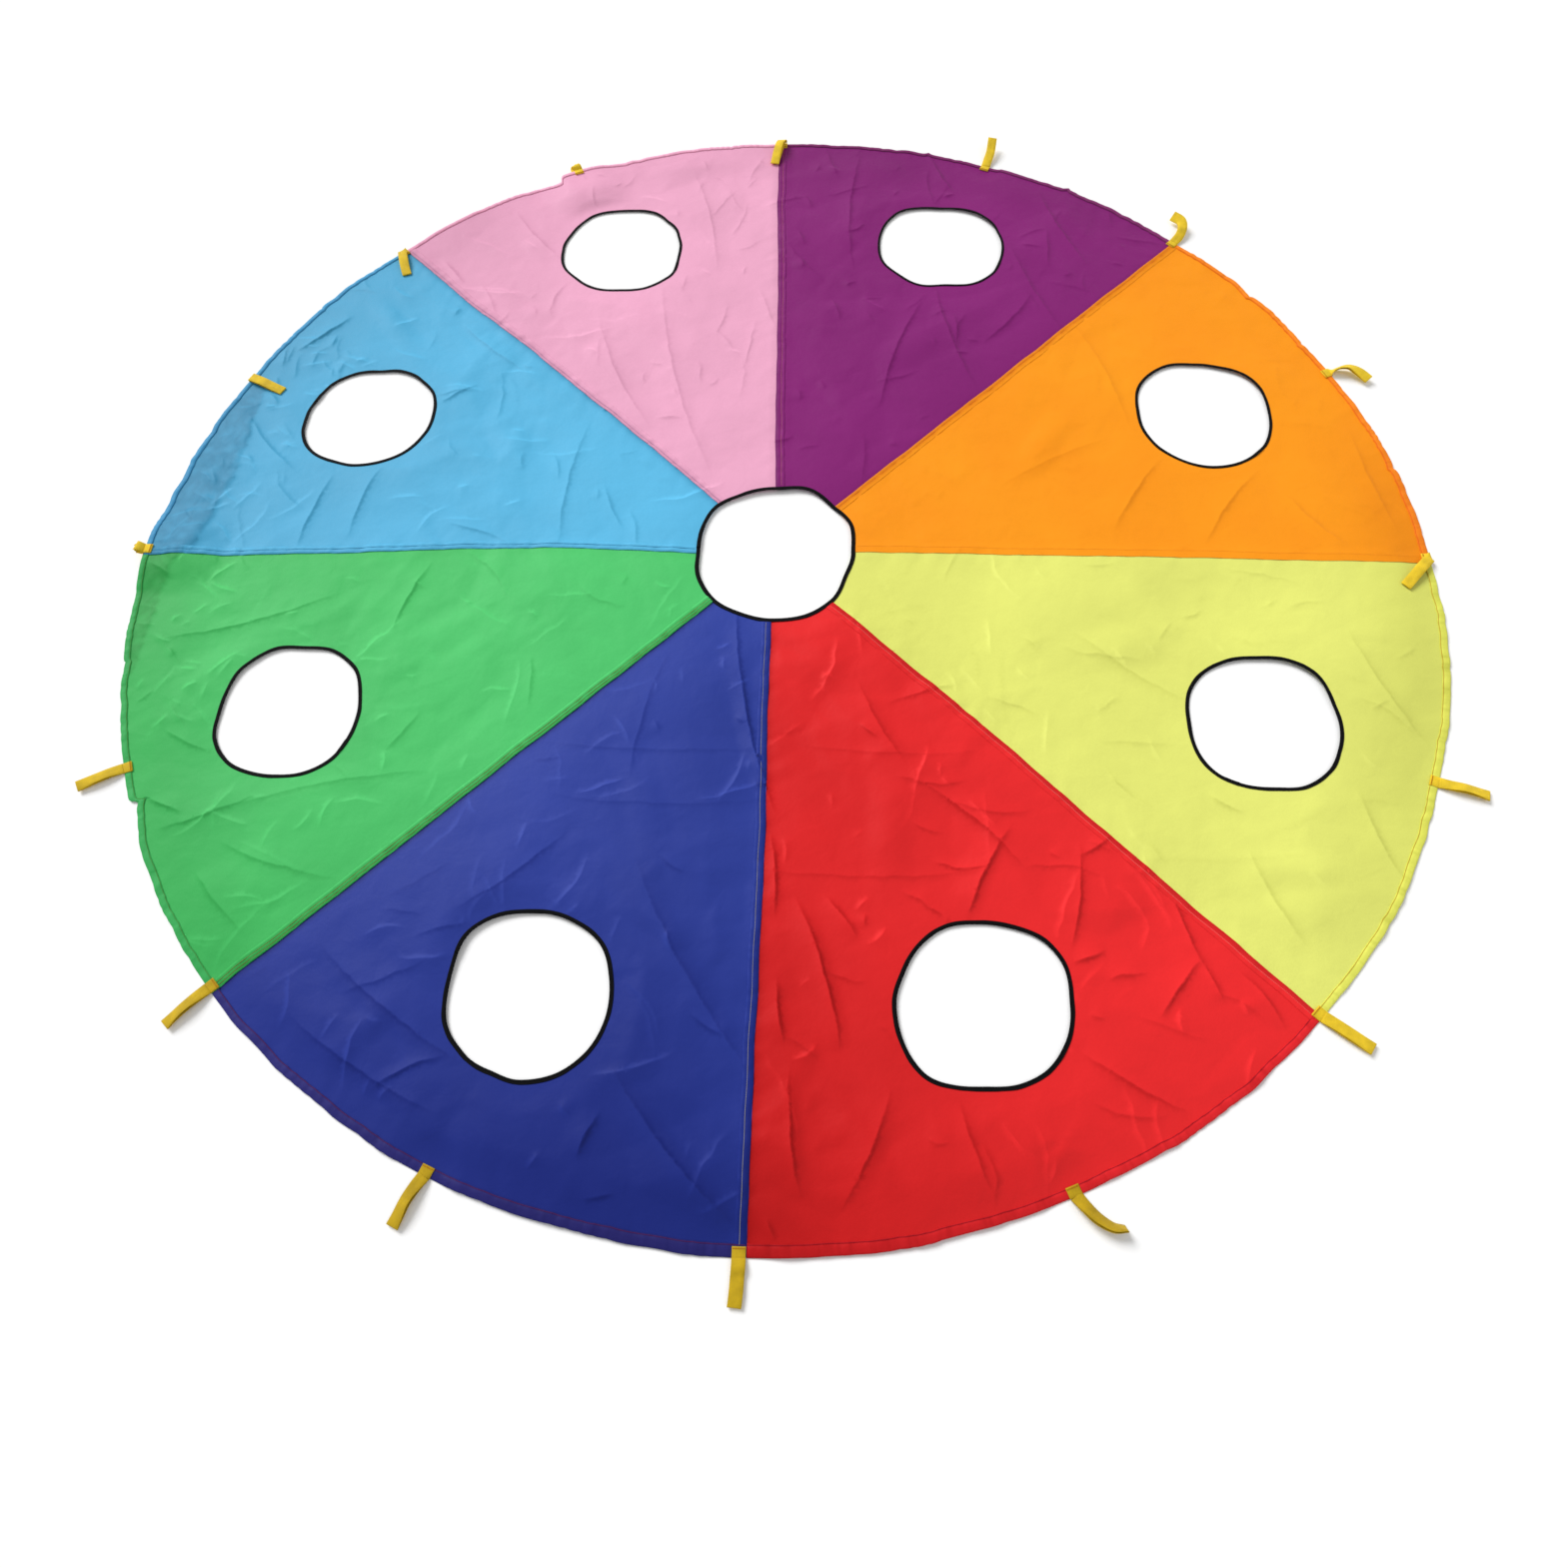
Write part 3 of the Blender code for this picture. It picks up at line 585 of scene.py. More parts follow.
def photo_creases():
    """The creases seen in the photograph, on the floor."""
    creases = []
    for x0, y0, x1, y1, height, width in seen_creases:
        a, b = floor_point(x0, y0), floor_point(x1, y1)
        run = math.atan2(b[1] - a[1], b[0] - a[0])
        length = math.hypot(*(b - a)) * 1.25
        x, y = (a + b) / 2
        bend = 0.04 if height % 2 else -0.04
        kinks = kinked(length, 0.0016)
        strength = float(crinkle_strength(x, y))
        lift = height * 1.3e-3 * (0.3 + 0.7 * strength)
        creases.append((x, y, run, length, lift, width * 1e-3, bend, kinks))
    return creases


def steep_to_key(run):
    """How far a crease's steep side faces the key light, from -1 to 1."""
    x, y, _ = key_place
    return (math.sin(run) * x - math.cos(run) * y) / math.hypot(x, y)


def turned(creases, share):
    """The creases, most of them turned so that their steep side faces away from the key."""
    lit = []
    for x, y, run, length, height, width, bend, kinks in creases:
        if steep_to_key(run) > 0 and rng.uniform() < share:
            run, bend = run + math.pi, -bend
        lit.append((x, y, run, length, height, width, bend, kinks))
    return lit


crease_list = turned(photo_creases(), 1) + turned(random_creases(), 0.1)


def facet_field(spacing, seed):
    """Flat facets between random points of random height, as a grid of heights from 0 to 1.

    Also gives the facets' edges, as pairs of points.
    """
    random = np.random.RandomState(seed)
    count = round(2 * field_reach / spacing)
    line = (np.arange(count) + 0.5) * spacing - field_reach
    aside = 0.45
    places = [
        a.ravel() + random.uniform(-aside, aside, count * count) * spacing
        for a in np.meshgrid(line, line)
    ]
    found = delaunay_2d_cdt([Vector(p) for p in zip(*places)], [], [], 0, 1e-6)
    points = np.array([tuple(p) for p in found[0]])
    tops = random.uniform(0, 1, len(points))
    size = round(2 * field_reach / field_step) + 1
    grid = np.full((size, size), 0.5)
    for face in found[2]:
        corners = (points[list(face)] + field_reach) / field_step
        low = np.maximum(np.floor(corners.min(0)).astype(int), 0)
        high = np.minimum(np.ceil(corners.max(0)).astype(int) + 1, size)
        gx, gy = np.meshgrid(np.arange(low[0], high[0]), np.arange(low[1], high[1]))
        (ax, ay), (bx, by), (cx, cy) = corners
        whole = (bx - ax) * (cy - ay) - (cx - ax) * (by - ay)
        if abs(whole) < 1e-9 or not gx.size:
            continue
        b = ((gx - ax) * (cy - ay) - (cx - ax) * (gy - ay)) / whole
        c = ((bx - ax) * (gy - ay) - (gx - ax) * (by - ay)) / whole
        inside = (b >= -1e-6) & (c >= -1e-6) & (b + c <= 1 + 1e-6)
        height = (1 - b - c) * tops[face[0]] + b * tops[face[1]] + c * tops[face[2]]
        grid[gy[inside], gx[inside]] = height[inside]
    return grid, [(points[a], points[b]) for a, b in found[1]]


def sampled(grid, x, y):
    """A grid's height at points, between its four nearest values."""
    u = np.clip((x + field_reach) / field_step, 0, len(grid) - 1.001)
    v = np.clip((y + field_reach) / field_step, 0, len(grid) - 1.001)
    i, j = u.astype(int), v.astype(int)
    fu, fv = u - i, v - j
    low = grid[j, i] * (1 - fu) + grid[j, i + 1] * fu
    high = grid[j + 1, i] * (1 - fu) + grid[j + 1, i + 1] * fu
    return low * (1 - fv) + high * fv


crumpled_line = np.array([floor_point(*pixel) for pixel in crumpled_edge])


def crumpled(x, y):
    """1 in the crumpled zone by the left rim, and 0 elsewhere, with a crisp edge."""
    angle = direction_of(x, y)
    inner = np.interp(
        angle, direction_of(*crumpled_line.T), np.hypot(*crumpled_line.T), left=far, right=far
    )
    inner = inner + 0.007 * line_noise(angle / 0.016, 55)
    return ease((np.hypot(x, y) - inner) / 0.006 + 0.5)


def crease_line(crease, u):
    """How far aside of its straight run a crease lies, at shares of its half length."""
    _, _, _, length, _, _, bend, kinks = crease
    return bend * length * (u * u - 0.3) + np.interp(u, np.linspace(-1, 1, len(kinks)), kinks)


def crease_offset(crease, x, y):
    """Which points are near a crease, their shares of its half length and their places aside."""
    cx, cy, run, length, _, width, _, _ = crease
    reach = length / 2 + 0.02
    dx, dy = x - cx, y - cy
    near = np.flatnonzero(dx * dx + dy * dy < (reach + crease_reach * width) ** 2)
    dx, dy = dx[near], dy[near]
    u = (dx * math.cos(run) + dy * math.sin(run)) / (length / 2)
    v = dy * math.cos(run) - dx * math.sin(run) - crease_line(crease, u)
    inside = np.abs(u) < 1
    return near[inside], u[inside], v[inside]


def crease_height(x, y):
    """All creases: each drops off sharply on one side of its crest and gently on the other."""
    height = np.zeros_like(x)
    for crease in crease_list:
        lift, width = crease[4:6]
        near, u, v = crease_offset(crease, x, y)
        if not len(near):
            continue
        gentle = np.clip(1 - v / (crease_reach * width), 0, 1) ** 1.6
        steep = np.clip(-v / crisp_side, 0, 1)
        crisp = 0.6 * min(max((0.045 - width) / 0.03, 0.05), 1)
        sharp = (1 - crisp * steep) * ease(1 + v / (1.3 * width))
        taper = (1 - u * u) * (1 - 0.25 * u)
        height[near] += lift * taper * np.where(v > 0, gentle, sharp)
    return height


def crease_rows(panel):
    """Points along the gore's creases and facet edges, so that its mesh follows them."""
    rows = []
    for shift in (-0.0035, 0.0035):
        for a, b in zip(crumpled_line, crumpled_line[1:]):
            line = a + (b - a) * np.linspace(0, 1, 8)[:, None]
            rows.append(line * (1 + shift / np.hypot(*line.T))[:, None])
    for a, b in facet_edges:
        if max(np.hypot(*a), np.hypot(*b)) < field_reach:
            count = max(round(np.hypot(*(b - a)) / 0.008), 2)
            rows.append(a + (b - a) * np.linspace(0, 1, count)[:, None])
    for crease in crease_list:
        cx, cy, run, length, lift = crease[:5]
        if lift < least_lift:
            continue
        u = np.linspace(-0.96, 0.96, max(round(length / 0.0055), 4))
        for aside in (-crisp_side, 0, crisp_side):
            v = crease_line(crease, u) + aside
            x = cx + u * length / 2 * math.cos(run) - v * math.sin(run)
            y = cy + u * length / 2 * math.sin(run) + v * math.cos(run)
            rows.append(np.column_stack([x, y]))
    points = np.concatenate(rows)
    gores = (direction_of(*points.T) // gore_angle).astype(int) % panel_count
    return points[gores == panel]


broad_facets, facet_edges = facet_field(0.125, 21)
small_facets, _ = facet_field(0.047, 22)
fine_facets, _ = facet_field(0.022, 23)


def seam_puckers(x, y):
    """Short ripples that the stitching draws along every seam."""
    height = np.zeros_like(x)
    for seam in range(panel_count):
        c, s = math.cos(seam * gore_angle), math.sin(seam * gore_angle)
        along, away = x * c + y * s, y * c - x * s
        strength = np.exp(-np.abs(away) / 0.035) * (along > 0)
        ripple = line_noise(along / 0.030 + np.abs(away) / 0.05, 31, seam + 0.5)
        height += 0.0015 * strength * ripple
    return height


def hem_puckers(x, y):
    """Short ripples that the stitching draws along the hem."""
    inside = rim_radius - np.hypot(x, y)
    place = np.arctan2(y, x) * rim_radius
    ripple = line_noise(place / 0.034 + inside / 0.08, 32)
    ripple += 0.8 * line_noise(place / 0.085 - inside / 0.20, 33, 3.5)
    return 0.0015 * np.exp(-np.abs(inside) / 0.05) * ripple


def calm(x, y):
    """0 at the handles' roots, where the cloth lies as the CAD has it, and 1 away."""
    still = np.ones_like(x)
    for index in range(handle_count):
        root_x, root_y = flat_handle_place(index)[0]
        still = np.minimum(still, ease((np.hypot(x - root_x, y - root_y) - 0.022) / 0.06))
    return still


def cloth_height(x, y):
    """The height of the visible cloth above the floor."""
    x, y = np.asarray(x, float), np.asarray(y, float)
    strength = crinkle_strength(x, y)
    waves = 0.0026 * swell(x, y, 0.42, 11) + 0.0013 * swell(x, y, 0.15, 12)
    waves *= 0.15 + 0.85 * strength
    wx, wy = x + 0.05 * swell(x, y, 0.2, 13), y + 0.05 * swell(x, y, 0.2, 14)
    patches = ease(0.55 + 1.3 * swell(x, y, 0.5, 15))
    ridges = (1 - np.abs(swell(wx, wy, 0.16, 16))) ** 3 * patches * 0.0012
    facets = 0.0085 * sampled(broad_facets, x, y) + 0.0034 * patches * sampled(small_facets, x, y)
    facets = facets * strength + 0.0034 * crumpled(x, y) * sampled(fine_facets, x, y)
    relief = waves + ridges * strength + facets + crease_height(x, y) + seam_puckers(x, y)
    free, lifts = np.ones_like(x), np.zeros_like(x)
    for name, (_, lift, _) in holes.items():
        gap, angle = hole_gap(name, x, y)
        free = np.minimum(free, ease((gap + 0.004) / 0.07))
        lifts += 1e-3 * by_direction(lift, angle) * ease(1 - gap / 0.16)
    relief = 0.5 * (relief + np.sqrt(relief**2 + 0.0008**2))
    still = calm(x, y)
    relief = relief * (1 - 0.7 * ease((np.hypot(x, y) - 1.42) / 0.1))
    relief = relief * (0.25 + 0.75 * free) + lifts + np.maximum(hem_puckers(x, y), -0.0005)
    height = laid_height(x, y) + np.maximum(relief, 0) * still
    over = 0.007 * np.tanh((height - high_cloth) / 0.007)
    height = np.where(height > high_cloth, high_cloth + over, height)
    aside = np.abs(y * math.cos(fold_angle) - x * math.sin(fold_angle))
    room = fold_room + fold_room_slope * aside
    return room * np.tanh(height / room)


def laid_place(x, y):
    """Where a point of the flat pattern lies: the rim stands in and out, and seams wander."""
    x, y = np.asarray(x, float), np.asarray(y, float)
    radius, angle = np.hypot(x, y), np.arctan2(y, x)
    still = calm(x, y)
    out = 1e-3 * by_direction(rim_bulges, angle) * ease((radius - 1.0) / 0.5)
    for degrees, after, before, depth in rim_jogs:
        off = ((angle - math.radians(degrees) + math.pi) % (2 * math.pi) - math.pi) * rim_radius
        reach = np.where(off > 0, after, before) * 1e-3
        out = out - 1e-3 * depth * np.exp(-np.abs(off) / reach) * ease((radius - 1.40) / 0.12)
    place = angle * rim_radius
    edge = ease((radius - 1.44) / 0.08)
    pitch = place / 0.046 + 2.2 * line_noise(place / 0.15, 44)
    depth = 1e-3 * by_direction(scallop_depths, angle - math.pi / 8)
    out = out + depth * (np.abs(np.sin(math.pi * pitch)) - 0.6) * 1.6 * edge
    out = out + 0.0024 * line_noise(place / 0.065, 41) * edge
    out = out * still
    free = np.ones_like(x)
    for name in holes:
        free = np.minimum(free, ease(hole_gap(name, x, y)[0] / 0.08))
    wander = 0.0022 * free * still * ease((rim_radius + 0.02 - radius) / 0.06)
    scale = 1 + out / np.maximum(radius, 1e-6)
    drift = seam_drift(radius, angle)
    dx = wander * swell(x, y, 0.10, 42) - np.sin(angle) * drift
    dy = wander * swell(x, y, 0.10, 43) + np.cos(angle) * drift
    return x * scale + dx, y * scale + dy


def lay(points, above=0.0):
    """Points of the flat pattern, laid on the floor: an array of places in 3-D."""
    flat = np.asarray(points, float)
    z = cloth_height(flat[:, 0], flat[:, 1]) + above
    x, y = laid_place(flat[:, 0], flat[:, 1])
    return np.column_stack([x, y, z])


def body_for(panel):
    return "folding_half" if panel_names[panel] in folding_panels else "root_half"


def linked(name, data):
    """An object in the scene with that mesh, light or camera."""
    item = bpy.data.objects.new(name, data)
    bpy.context.scene.collection.objects.link(item)
    return item


def new_object(name, verts, faces, material):
    mesh = bpy.data.meshes.new(name)
    mesh.from_pydata([tuple(map(float, v)) for v in verts], [], faces)
    mesh.update()
    mesh.shade_smooth()
    mesh.materials.append(material)
    return linked(name, mesh)


# Materials


def new_material(name):
    material = bpy.data.materials.new(name)
    material.use_nodes = True
    return material, material.node_tree, material.node_tree.nodes["Principled BSDF"]


def wire(node, **values):
    """Sets the inputs and properties of a node by name, and links an output to its input."""
    for key, value in values.items():
        name = key.replace("_", " ")
        if name not in node.inputs:
            setattr(node, key, value)
        elif isinstance(value, bpy.types.NodeSocket):
            node.id_data.links.new(value, node.inputs[name])
        else:
            node.inputs[name].default_value = value


def add(tree, kind, output, **values):
    """One output of a new node."""
    node = tree.nodes.new("ShaderNode" + kind)
    wire(node, **values)
    return node.outputs[output]


def of_two(tree, operation, *sources):
    """The product of two values, or the greater one."""
    node = tree.nodes.new("ShaderNodeMath")
    node.operation = operation
    for source, socket in zip(sources, node.inputs):
        tree.links.new(source, socket)
    return node.outputs["Value"]


def tones(tree, source, colour, dark, light, low=0, high=1):
    """A colour made darker where a value is low and lighter where it is high."""
    node = tree.nodes.new("ShaderNodeValToRGB")
    for element, tone, place in zip(node.color_ramp.elements, (dark, light), (low, high)):
        element.position = place
        element.color = (*[min(c * tone, 1) for c in linear(colour)[:3]], 1)
    wire(node, Fac=source)
    return node.outputs["Color"]


def darkened(tree, colour, by, share):
    """A colour multiplied by another one."""
    return add(tree, "MixRGB", "Color", blend_type="MULTIPLY", Fac=share, Color1=colour, Color2=by)


def weave(tree, place, operation, *scales_and_distortions):
    """Waves along x and along y as one height."""
    waves = [
        add(tree, "TexWave", "Fac", Vector=place, Scale=s, Distortion=d, bands_direction=axis)
        for axis, (s, d) in zip("XY", scales_and_distortions)
    ]
    return of_two(tree, operation, *waves)


def nylon(name, colour, fold_depth=0.25):
    """Thin plain-woven nylon: fine weave, small crumples and a soft sheen."""
    material, tree, shader = new_material(name)
    place = add(tree, "TexCoord", "Object")
    broad = add(tree, "TexNoise", "Fac", Vector=place, Scale=2.6, Detail=4.0, Roughness=0.55)
    fine = add(tree, "TexNoise", "Fac", Vector=place, Scale=420.0, Detail=1.0)
    crumples = {"Scale": 22.0, "Detail": 4.0, "Roughness": 0.55, "Distortion": 0.3}
    crumple = add(tree, "TexNoise", "Fac", Vector=place, **crumples)
    dyed = darkened(tree, tones(tree, broad, colour, 0.97, 1.12, 0.3, 0.75), fine, 0.10)
    # The painted shade stored on the cloth's points darkens its colour
    painted_shade = add(tree, "Attribute", "Color", attribute_name="painted_shade")
    woven = weave(tree, place, "MAXIMUM", (330.0, 0.4), (330.0, 0.4))
    folds = add(tree, "Bump", "Normal", Height=crumple, Strength=fold_depth, Distance=0.006)
    wire(
        shader,
        Base_Color=darkened(tree, dyed, painted_shade, 1.0),
        Normal=add(
            tree, "Bump", "Normal", Height=woven, Normal=folds, Strength=0.12, Distance=0.0004
        ),
        Roughness=add(tree, "MapRange", "Result", Value=broad, To_Min=0.42, To_Max=0.56),
        Specular_IOR_Level=0.08,
    )
    return material


def woven_tape(name, colour, rib=700.0, sheen=0.05, specular=0.12, shaded=False):
    """Woven webbing or binding tape: ribs across it and a finer weave along it, by UV."""
    material, tree, shader = new_material(name)
    along = add(tree, "TexCoord", "UV")
    woven = weave(tree, along, "MULTIPLY", (rib / 2, 0.6), (rib / 3, 0.3))
    place = add(tree, "TexCoord", "Object")
    blotch = add(tree, "TexNoise", "Fac", Vector=place, Scale=38.0, Detail=3.0)
    wear_and_painted_shade = darkened(tree, tones(tree, blotch, colour, 0.80, 1.12, 0.3, 0.7), woven, 0.20)
    # Where shaded, the painted shade stored on the points darkens the colour too
    if shaded:
        painted_shade = add(tree, "Attribute", "Color", attribute_name="painted_shade")
        wear_and_painted_shade = darkened(tree, wear_and_painted_shade, painted_shade, 1.0)
    wire(
        shader,
        Base_Color=wear_and_painted_shade,
        Normal=add(tree, "Bump", "Normal", Height=woven, Strength=0.55, Distance=0.0005),
        Roughness=add(tree, "MapRange", "Result", Value=blotch, To_Min=0.55, To_Max=0.75),
        Specular_IOR_Level=specular,
        Sheen_Weight=sheen,
        Sheen_Roughness=0.5,
    )
    return material


def thread(name, colour):
    """Twisted sewing thread."""
    material, tree, shader = new_material(name)
    place = add(tree, "TexCoord", "Object")
    twist = add(tree, "TexNoise", "Fac", Vector=place, Scale=900.0, Detail=1.0)
    wire(
        shader,
        Base_Color=tones(tree, twist, colour, 0.75, 1.15),
        Normal=add(tree, "Bump", "Normal", Height=twist, Strength=0.3, Distance=0.0002),
        Roughness=0.7,
        Specular_IOR_Level=0.08,
    )
    return material


# Gores


def seam_frame(seam):
    """A seam's direction outward, and the direction across it, anticlockwise."""
    out = direction(seam * gore_angle)
    return out, np.array((-out[1], out[0]))


def panel_seams(panel):
    """The two seams of a gore, each with the sign of the gore's side of it."""
    return (panel, 1), ((panel + 1) % panel_count, -1)


def inward(points, seam, sign):
    """How far points lie inside a seam, on the side of that sign."""
    return sign * (points @ seam_frame(seam)[1])


def seam_places(seam, aside, radii):
    """Points along a seam, moved aside anticlockwise by a distance."""
    out, across = seam_frame(seam)
    return np.sqrt(np.asarray(radii) ** 2 - aside**2)[:, None] * out + aside * across


def centre_reach(seam, aside):
    """How far from the centre a line beside a seam meets the middle hole's edge."""
    radius = float(hole_radius("centre", np.array(seam * gore_angle)))
    for _ in range(3):
        point = seam_places(seam, aside, [radius])[0]
        radius = float(hole_radius("centre", np.array(math.atan2(point[1], point[0]))))
    return radius


# How far from each seam its rows of stitches run
seam_rows = (
    (0.019,), (0.009,), (0.0135,), (0.008,), (0.012,), (0.006, 0.013), (0.0125,), (0.0115,),
)  # fmt: skip
# How high each seam's folded band stands, as a share, and on which side of the seam it lies
band_heights = (0.4, 1, 1, 1, 1, 1, 1, 1)
band_sides = (1, -1, -1, -1, -1, -1, -1, -1)


def gore_pattern(panel):
    """The flat pattern of one gore as points and triangles, with its hole cut out."""
    name = panel_names[panel]
    middle = gore_middle(panel)
    outer = rim_radius - edge_inset
    sides = []
    for seam, sign in panel_seams(panel):
        aside = 0 if band_sides[seam] == sign or seam in fold_seams else -sign * under_lap
        start = centre_reach(seam, 0)
        steps = round((outer - start) / (cloth_spacing * 0.8))
        sides.append(seam_places(seam, aside, np.linspace(start, outer, steps + 1)))
    arcs = []
    for end, mean, spacing in ((0, centre_hole_radius, 0.006), (-1, outer, cloth_spacing)):
        first, last = (
            middle + (math.atan2(y, x) - middle + math.pi) % (2 * math.pi) - math.pi
            for x, y in (sides[0][end], sides[1][end])
        )
        steps = max(round((last - first) * mean / spacing), 4)
        angles = np.linspace(first, last, steps + 1)[1:-1]
        arcs.append(polar(outer if end else hole_radius("centre", angles), angles))
    outline = np.concatenate([sides[0], arcs[1], sides[1][::-1], arcs[0][::-1]])
    angles = np.linspace(0, 2 * math.pi, 132, endpoint=False)
    edge = hole_radius(name, angles)
    rings = [hole_centre(name) + polar(edge + inset, angles) for inset in (0, 0.009, hole_border)]
    rows = np.arange(-rim_radius, rim_radius, cloth_spacing * math.sqrt(3) / 2)
    columns = np.arange(-rim_radius, rim_radius, cloth_spacing)
    gx, gy = np.meshgrid(columns, rows)
    gx[1::2] += cloth_spacing / 2
    fill = np.column_stack([gx.ravel(), gy.ravel()])
    crests = crease_rows(panel)
    keep = np.hypot(*fill.T) < outer - cloth_spacing * 0.6
    keep_crests = np.hypot(*crests.T) < rim_radius - 0.008
    for seam, sign in panel_seams(panel):
        keep &= inward(fill, seam, sign) > cloth_spacing * 0.55
        keep_crests &= inward(crests, seam, sign) > 0.004
    keep &= hole_gap("centre", *fill.T)[0] > cloth_spacing * 0.6
    keep &= hole_gap(name, *fill.T)[0] > hole_border + cloth_spacing * 0.6
    keep &= fill @ direction(middle) > 0
    keep_crests &= hole_gap("centre", *crests.T)[0] > 0.005
    keep_crests &= hole_gap(name, *crests.T)[0] > hole_border + 0.004
    points, edges = [], []
    for ring in (outline, *rings):
        first = len(points)
        points += [Vector(p) for p in ring]
        edges += [(first + i, first + (i + 1) % len(ring)) for i in range(len(ring))]
    points += [Vector(p) for p in spaced(crests[keep_crests], fill[keep], 0.0023, 0.0045)]
    flat, _, faces = delaunay_2d_cdt(points, edges, [], 0, 1e-5)[:3]
    flat, faces = np.array([tuple(p) for p in flat]), np.array(faces)
    middles = flat[faces].mean(1)
    return flat, faces[in_polygon(middles, outline) & ~in_polygon(middles, rings[0])]


def spaced(first, then, first_gap, then_gap):
    """Both sets of points, less those that lie too near one that is kept."""
    cell = 0.01
    kept, cells = [], {}
    for points, gap in ((first, first_gap), (then, then_gap)):
        for x, y in points:
            i, j = math.floor(x / cell), math.floor(y / cell)
            around = ((a, b) for a in (i - 1, i, i + 1) for b in (j - 1, j, j + 1))
            close = (other for place in around for other in cells.get(place, ()))
            if all((x - ox) ** 2 + (y - oy) ** 2 > gap * gap for ox, oy in close):
                kept.append((x, y))
                cells.setdefault((i, j), []).append((x, y))
    return np.array(kept)


def in_polygon(points, outline):
    """Which points lie inside a closed outline."""
    inside = np.zeros(len(points), bool)
    x, y = points[:, 0], points[:, 1]
    for a, b in zip(outline, np.roll(outline, -1, axis=0)):
        if a[1] == b[1]:
            continue
        crosses = (a[1] > y) != (b[1] > y)
        inside ^= crosses & (x < a[0] + (y - a[1]) / (b[1] - a[1]) * (b[0] - a[0]))
    return inside


def painted_shade_of(flat, crumples=1.0):
    """Painted shade on the cloth's colour: the fall of light painted darker at the front, in the
    middle, on the left and along the rim, the crumpled zone by the left rim painted darker in
    crinkled patches, and painted shade and highlight along creases.
    """
    x, y = flat[:, 0], flat[:, 1]
    radius = np.hypot(x, y)
    # Painted fall of light: darker at the front, in the middle, on the left and along the rim
    reach = np.where(x > -0.28, 0.45, 0.62)
    front = 0.45 * np.exp(-((x + 0.28) ** 2) / reach - (y + 1.45) ** 2 / 0.35)
    middle = 0.14 * np.exp(-(x**2 + (y + 0.5) ** 2) / 0.13)
    left = 0.12 * ease((-x - 0.5) / 0.6)
    rim = by_direction(rim_painted_shades, np.arctan2(y, x)) * ease((radius - 1.28) / 0.2)
    # Painted shade of the crumpled zone, in crinkled patches
    crinkled = np.abs(noise(x / 0.024, y / 0.034, 53)) + 0.6 * np.abs(noise(x / 0.05, y / 0.04, 54))
    zone = crumples * crumpled(x, y) * (0.31 - 0.20 * crinkled)
    # Painted shade and highlight along each crease: a line at its crest and a darker or lighter
    # side, by whether its steep side faces the key light
    lines = np.ones_like(x)
    for crease in crease_list:
        lift, width = crease[4:6]
        near, u, v = crease_offset(crease, x, y)
        lit = steep_to_key(crease[2]) > 0
        strength = 1 - u * u
        line = min(lift / 0.004, 1) * strength * ease(1 - np.abs(v + 0.0012) / 0.0038)
        steep, gentle = ease(1 + v / (1.1 * width)), ease(1 - v / width)
        side = min(lift / 0.006, 1) * strength * np.where(v < 0, -steep, 0.4 * gentle)
        lines[near] *= 1 + (0.25 * line - 0.07 * side if lit else -0.13 * line + 0.13 * side)
    return (1 - front) * (1 - middle) * (1 - left) * (1 - rim) * (1 - zone) * lines


def set_painted_shade(piece, values, colour):
    """Paints shade into a piece's colour, stored on its points, its weaker channels darkened the
    most.
    """
    layer = piece.data.attributes.new("painted_shade", "FLOAT_COLOR", "POINT")
    base = np.array(linear(colour)[:3])
    values = np.broadcast_to(values, len(piece.data.vertices))
    colours = np.ones((len(values), 4), np.float32)
    colours[:, :3] = np.maximum(values, 0.01)[:, None] ** (1 + 0.9 * (1 - base / base.max()) ** 2)
    layer.data.foreach_set("color", colours.ravel())


def make_gore(panel):
    """A gore's cloth. It rises under its own folded bands and dips under its neighbours'."""
    name = panel_names[panel]
    flat, faces = gore_pattern(panel)
    used = np.unique(faces)
    index = np.full(len(flat), -1)
    index[used] = np.arange(len(used))
    flat = flat[used]
    painted_shade = painted_shade_of(flat)
    rise, dip = np.zeros(len(flat)), np.zeros(len(flat))
    for seam, sign in panel_seams(panel):
        aside = inward(flat, seam, sign)
        if band_sides[seam] == sign:
            rise += band_step * ease((seam_width + 0.012 - aside) / 0.012)
        else:
            dip += 0.0005 * ease((0.008 - aside) / 0.010)
            # Painted shadow that the neighbour's band casts beside the seam
            painted_shade *= np.interp(1e3 * aside, tone_steps, lap_painted_shadows[seam]) ** shade_power
    places = lay(flat, rise + 0.0003 - dip)
    triangles = [tuple(int(i) for i in face) for face in index[faces]]
    piece = new_object(f"cloth_{name}", places, triangles, nylon_materials[name])
    set_painted_shade(piece, painted_shade, panel_colours[name])
    return piece


def grid_faces(rows, count, first=0, ring=True):
    """Quads between rows of points. Each row closes on itself, unless ring is off."""
    faces = []
    for row in range(rows - 1):
        a = first + row * count
        for i in range(count if ring else count - 1):
            j = (i + 1) % count
            faces.append((a + i, a + j, a + count + j, a + count + i))
    return faces


